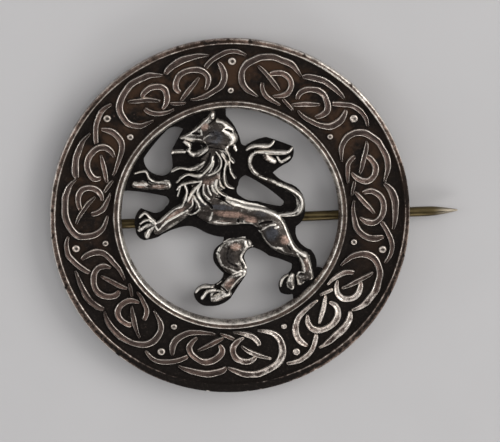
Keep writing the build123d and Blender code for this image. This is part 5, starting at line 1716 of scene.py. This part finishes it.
    def rivet(self, setting: Setting, finish: BrassFinish) -> bpy.types.Object:
        """The hinge's rivet with a low domed head at each end."""
        half = self.knuckle_width / 2 + self.hinge_gap + self.ear_thickness + self.head_gap
        head = self.rivet_head_radius
        side = [(half - 0.02, self.rivet_radius), (half, head * 0.96), (half + 0.05, head), (half + 0.1, head * 0.95),
                (half + 0.16, head * 0.76), (half + self.rivet_head_height, head * 0.4)]
        pin = spun([(-x, r) for x, r in side[::-1]] + side)
        pin = moved(pin, self.across(-self.hinge_distance, self.axis_height))
        return new_object("rivet", pin, setting, finish.material())


class Softbox(NamedTuple):
    """A rectangular light that faces the brooch, and may be kept out of what the metal mirrors."""

    name: str
    place: tuple[float, float, float]
    size: tuple[float, float]
    power: float
    colour: Colour
    mirrored: bool = True


@dataclass
class Studio:
    """The floor, the soft lights over it and the camera, as the photograph was taken."""

    view_direction: tuple[float, float, float] = (-0.0503, 0.2366, 0.970)
    view_up: tuple[float, float, float] = (0.006, 0.972, -0.237)
    aim_right: float = 2.63
    aim_down: float = 0.77
    aim_height: float = 3.85
    distance: float = 0.8
    lens: float = 432.0
    floor_reach: float = 3.0
    softboxes: tuple[Softbox, ...] = (
        Softbox("key", (0.40, 0.19, 0.43), (0.46, 0.36), 1.75, (1.0, 0.985, 0.96)),
        Softbox("left", (-0.52, 0.06, 0.26), (0.16, 0.36), 0.85, (0.96, 0.98, 1.0)),
        Softbox("front", (0.06, -0.50, 0.30), (0.42, 0.14), 0.7, (1.0, 0.99, 0.98)),
        Softbox("right", (0.55, -0.10, 0.20), (0.12, 0.3), 0.3, (1.0, 0.98, 0.95)),
        Softbox("overhead", (0.06, 0.12, 0.6), (0.2, 0.2), 0.4, (1.0, 1.0, 1.0), mirrored=False),
    )

    def camera(self, setting: Setting) -> None:
        """The camera at the photograph's angle."""
        back = Vector(self.view_direction).normalized()
        right = Vector(self.view_up).cross(back).normalized()
        up = back.cross(right)
        aim = Vector(setting.place([0, 0, self.aim_height]))
        aim += setting.unit * (self.aim_right * right - self.aim_down * up)
        data = bpy.data.cameras.new("camera")
        data.lens, data.sensor_width = self.lens, 36.0
        data.clip_start, data.clip_end = 0.01, 20.0
        made = linked("camera", data)
        turn = Matrix((right, up, back)).transposed().to_4x4()
        made.matrix_world = Matrix.Translation(aim + back * self.distance) @ turn
        bpy.context.scene.camera = made

    def lights(self) -> None:
        """The softboxes."""
        for box in self.softboxes:
            data = bpy.data.lights.new(box.name, "AREA")
            data.shape = "RECTANGLE"
            data.size, data.size_y = box.size
            data.energy, data.color = box.power, box.colour
            made = linked(box.name, data)
            made.location = box.place
            made.rotation_euler = (-Vector(box.place)).to_track_quat("-Z", "Y").to_euler()
            made.visible_glossy = box.mirrored

    @staticmethod
    def room() -> None:
        """A dim room, darkest where level silver mirrors it, and a little brighter to the upper right."""
        world = bpy.data.worlds.new("room")
        world.use_nodes = True
        bench = Bench(world.node_tree)
        glow = world.node_tree.nodes["Background"]
        way = bench.out("ShaderNodeTexCoord", wanted="Generated")
        near = bench.vector("DOT_PRODUCT", way, (0.05, -0.24, 0.97))
        level = bench.curve(near, [(0, 0.5), (0.25, 0.58), (0.7, 0.60), (0.86, 0.45), (0.95, 0.2), (1, 0.08)])
        level = bench.times(level, bench.plus(bench.vector("DOT_PRODUCT", way, (0.26, 0.2, 0.0)), 1.0))
        bench.put(bench.dye(level, (0.0, 0.0, 0.0), (1.0, 0.995, 1.0)), glow.inputs["Color"])
        glow.inputs["Strength"].default_value = 1.0
        bpy.context.scene.world = world

    def floor(self) -> bpy.types.Object:
        """The pale floor."""
        mesh, far = bpy.data.meshes.new("floor"), self.floor_reach
        mesh.from_pydata([(-far, -far, 0), (far, -far, 0), (far, far, 0), (-far, far, 0)], [], [(0, 1, 2, 3)])
        mesh.materials.append(FloorFinish().material())
        return linked("floor", mesh)

    def build(self, setting: Setting) -> None:
        """Sets the whole studio up."""
        bpy.context.scene.view_settings.view_transform = "Standard"
        self.camera(setting)
        self.lights()
        self.room()
        self.floor()


def report(made: bpy.types.Object) -> None:
    """Says how large a finished piece is."""
    made.data.calc_loop_triangles()
    log.info("%s: %d triangles", made.name, len(made.data.loop_triangles))


def main() -> None:
    """Builds the brooch piece by piece, and the studio round it."""
    logging.basicConfig(level=logging.INFO, format="%(message)s")
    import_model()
    border, interlace, lion, findings = Border(), Interlace(), Lion(), Findings()
    setting = Setting.from_box(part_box("plate"), border.outer_radius)

    steady = [
        border.build(setting, SilverFinish("silver_border", dull=(0.105, 0.082, 0.068),
                                           black=(0.0085, 0.0066, 0.0058), browning=1.0, patchiness=0.6)),
        interlace.build(setting, SilverFinish("silver_strands", bare_and_highlight=(0.92, 0.83, 0.75), dull=(0.086, 0.064, 0.056),
                                              pink=(0.215, 0.142, 0.116), patchiness=0.75, browning=0.0)),
        interlace.dots(setting, SilverFinish("silver_dots", bare_and_highlight=(0.74, 0.66, 0.59), dull=(0.10, 0.082, 0.070),
                                             browning=0.0)),
        lion.build(setting, SilverFinish("silver_lion", dull=(0.072, 0.061, 0.054), patchiness=0.8, browning=0.0,
                                         bare_roughness=0.33, patch_scale=1300.0, marks_depth=0.00009)),
        findings.ears(setting, SilverFinish("silver_ears")),
        findings.hook(setting, SilverFinish("silver_hook")),
    ]
    for made in steady:
        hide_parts("plate")
        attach(made, "root")
        report(made)
    tip = setting.place([findings.tip_reach, 0, 0])[0]
    stem = findings.stem(setting, BrassFinish("pin_brass_drawn", findings.pin_rise_deg, tip - 0.0034, tip - 0.0008))
    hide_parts("pin_stem")
    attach(stem, "pin")
    report(stem)
    rivet = findings.rivet(setting, BrassFinish("rivet_brass", findings.pin_rise_deg, 1.0, 2.0))
    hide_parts("hinge_rivet")
    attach(rivet, "root")
    report(rivet)

    Studio().build(setting)


if __name__ == "__main__":
    main()
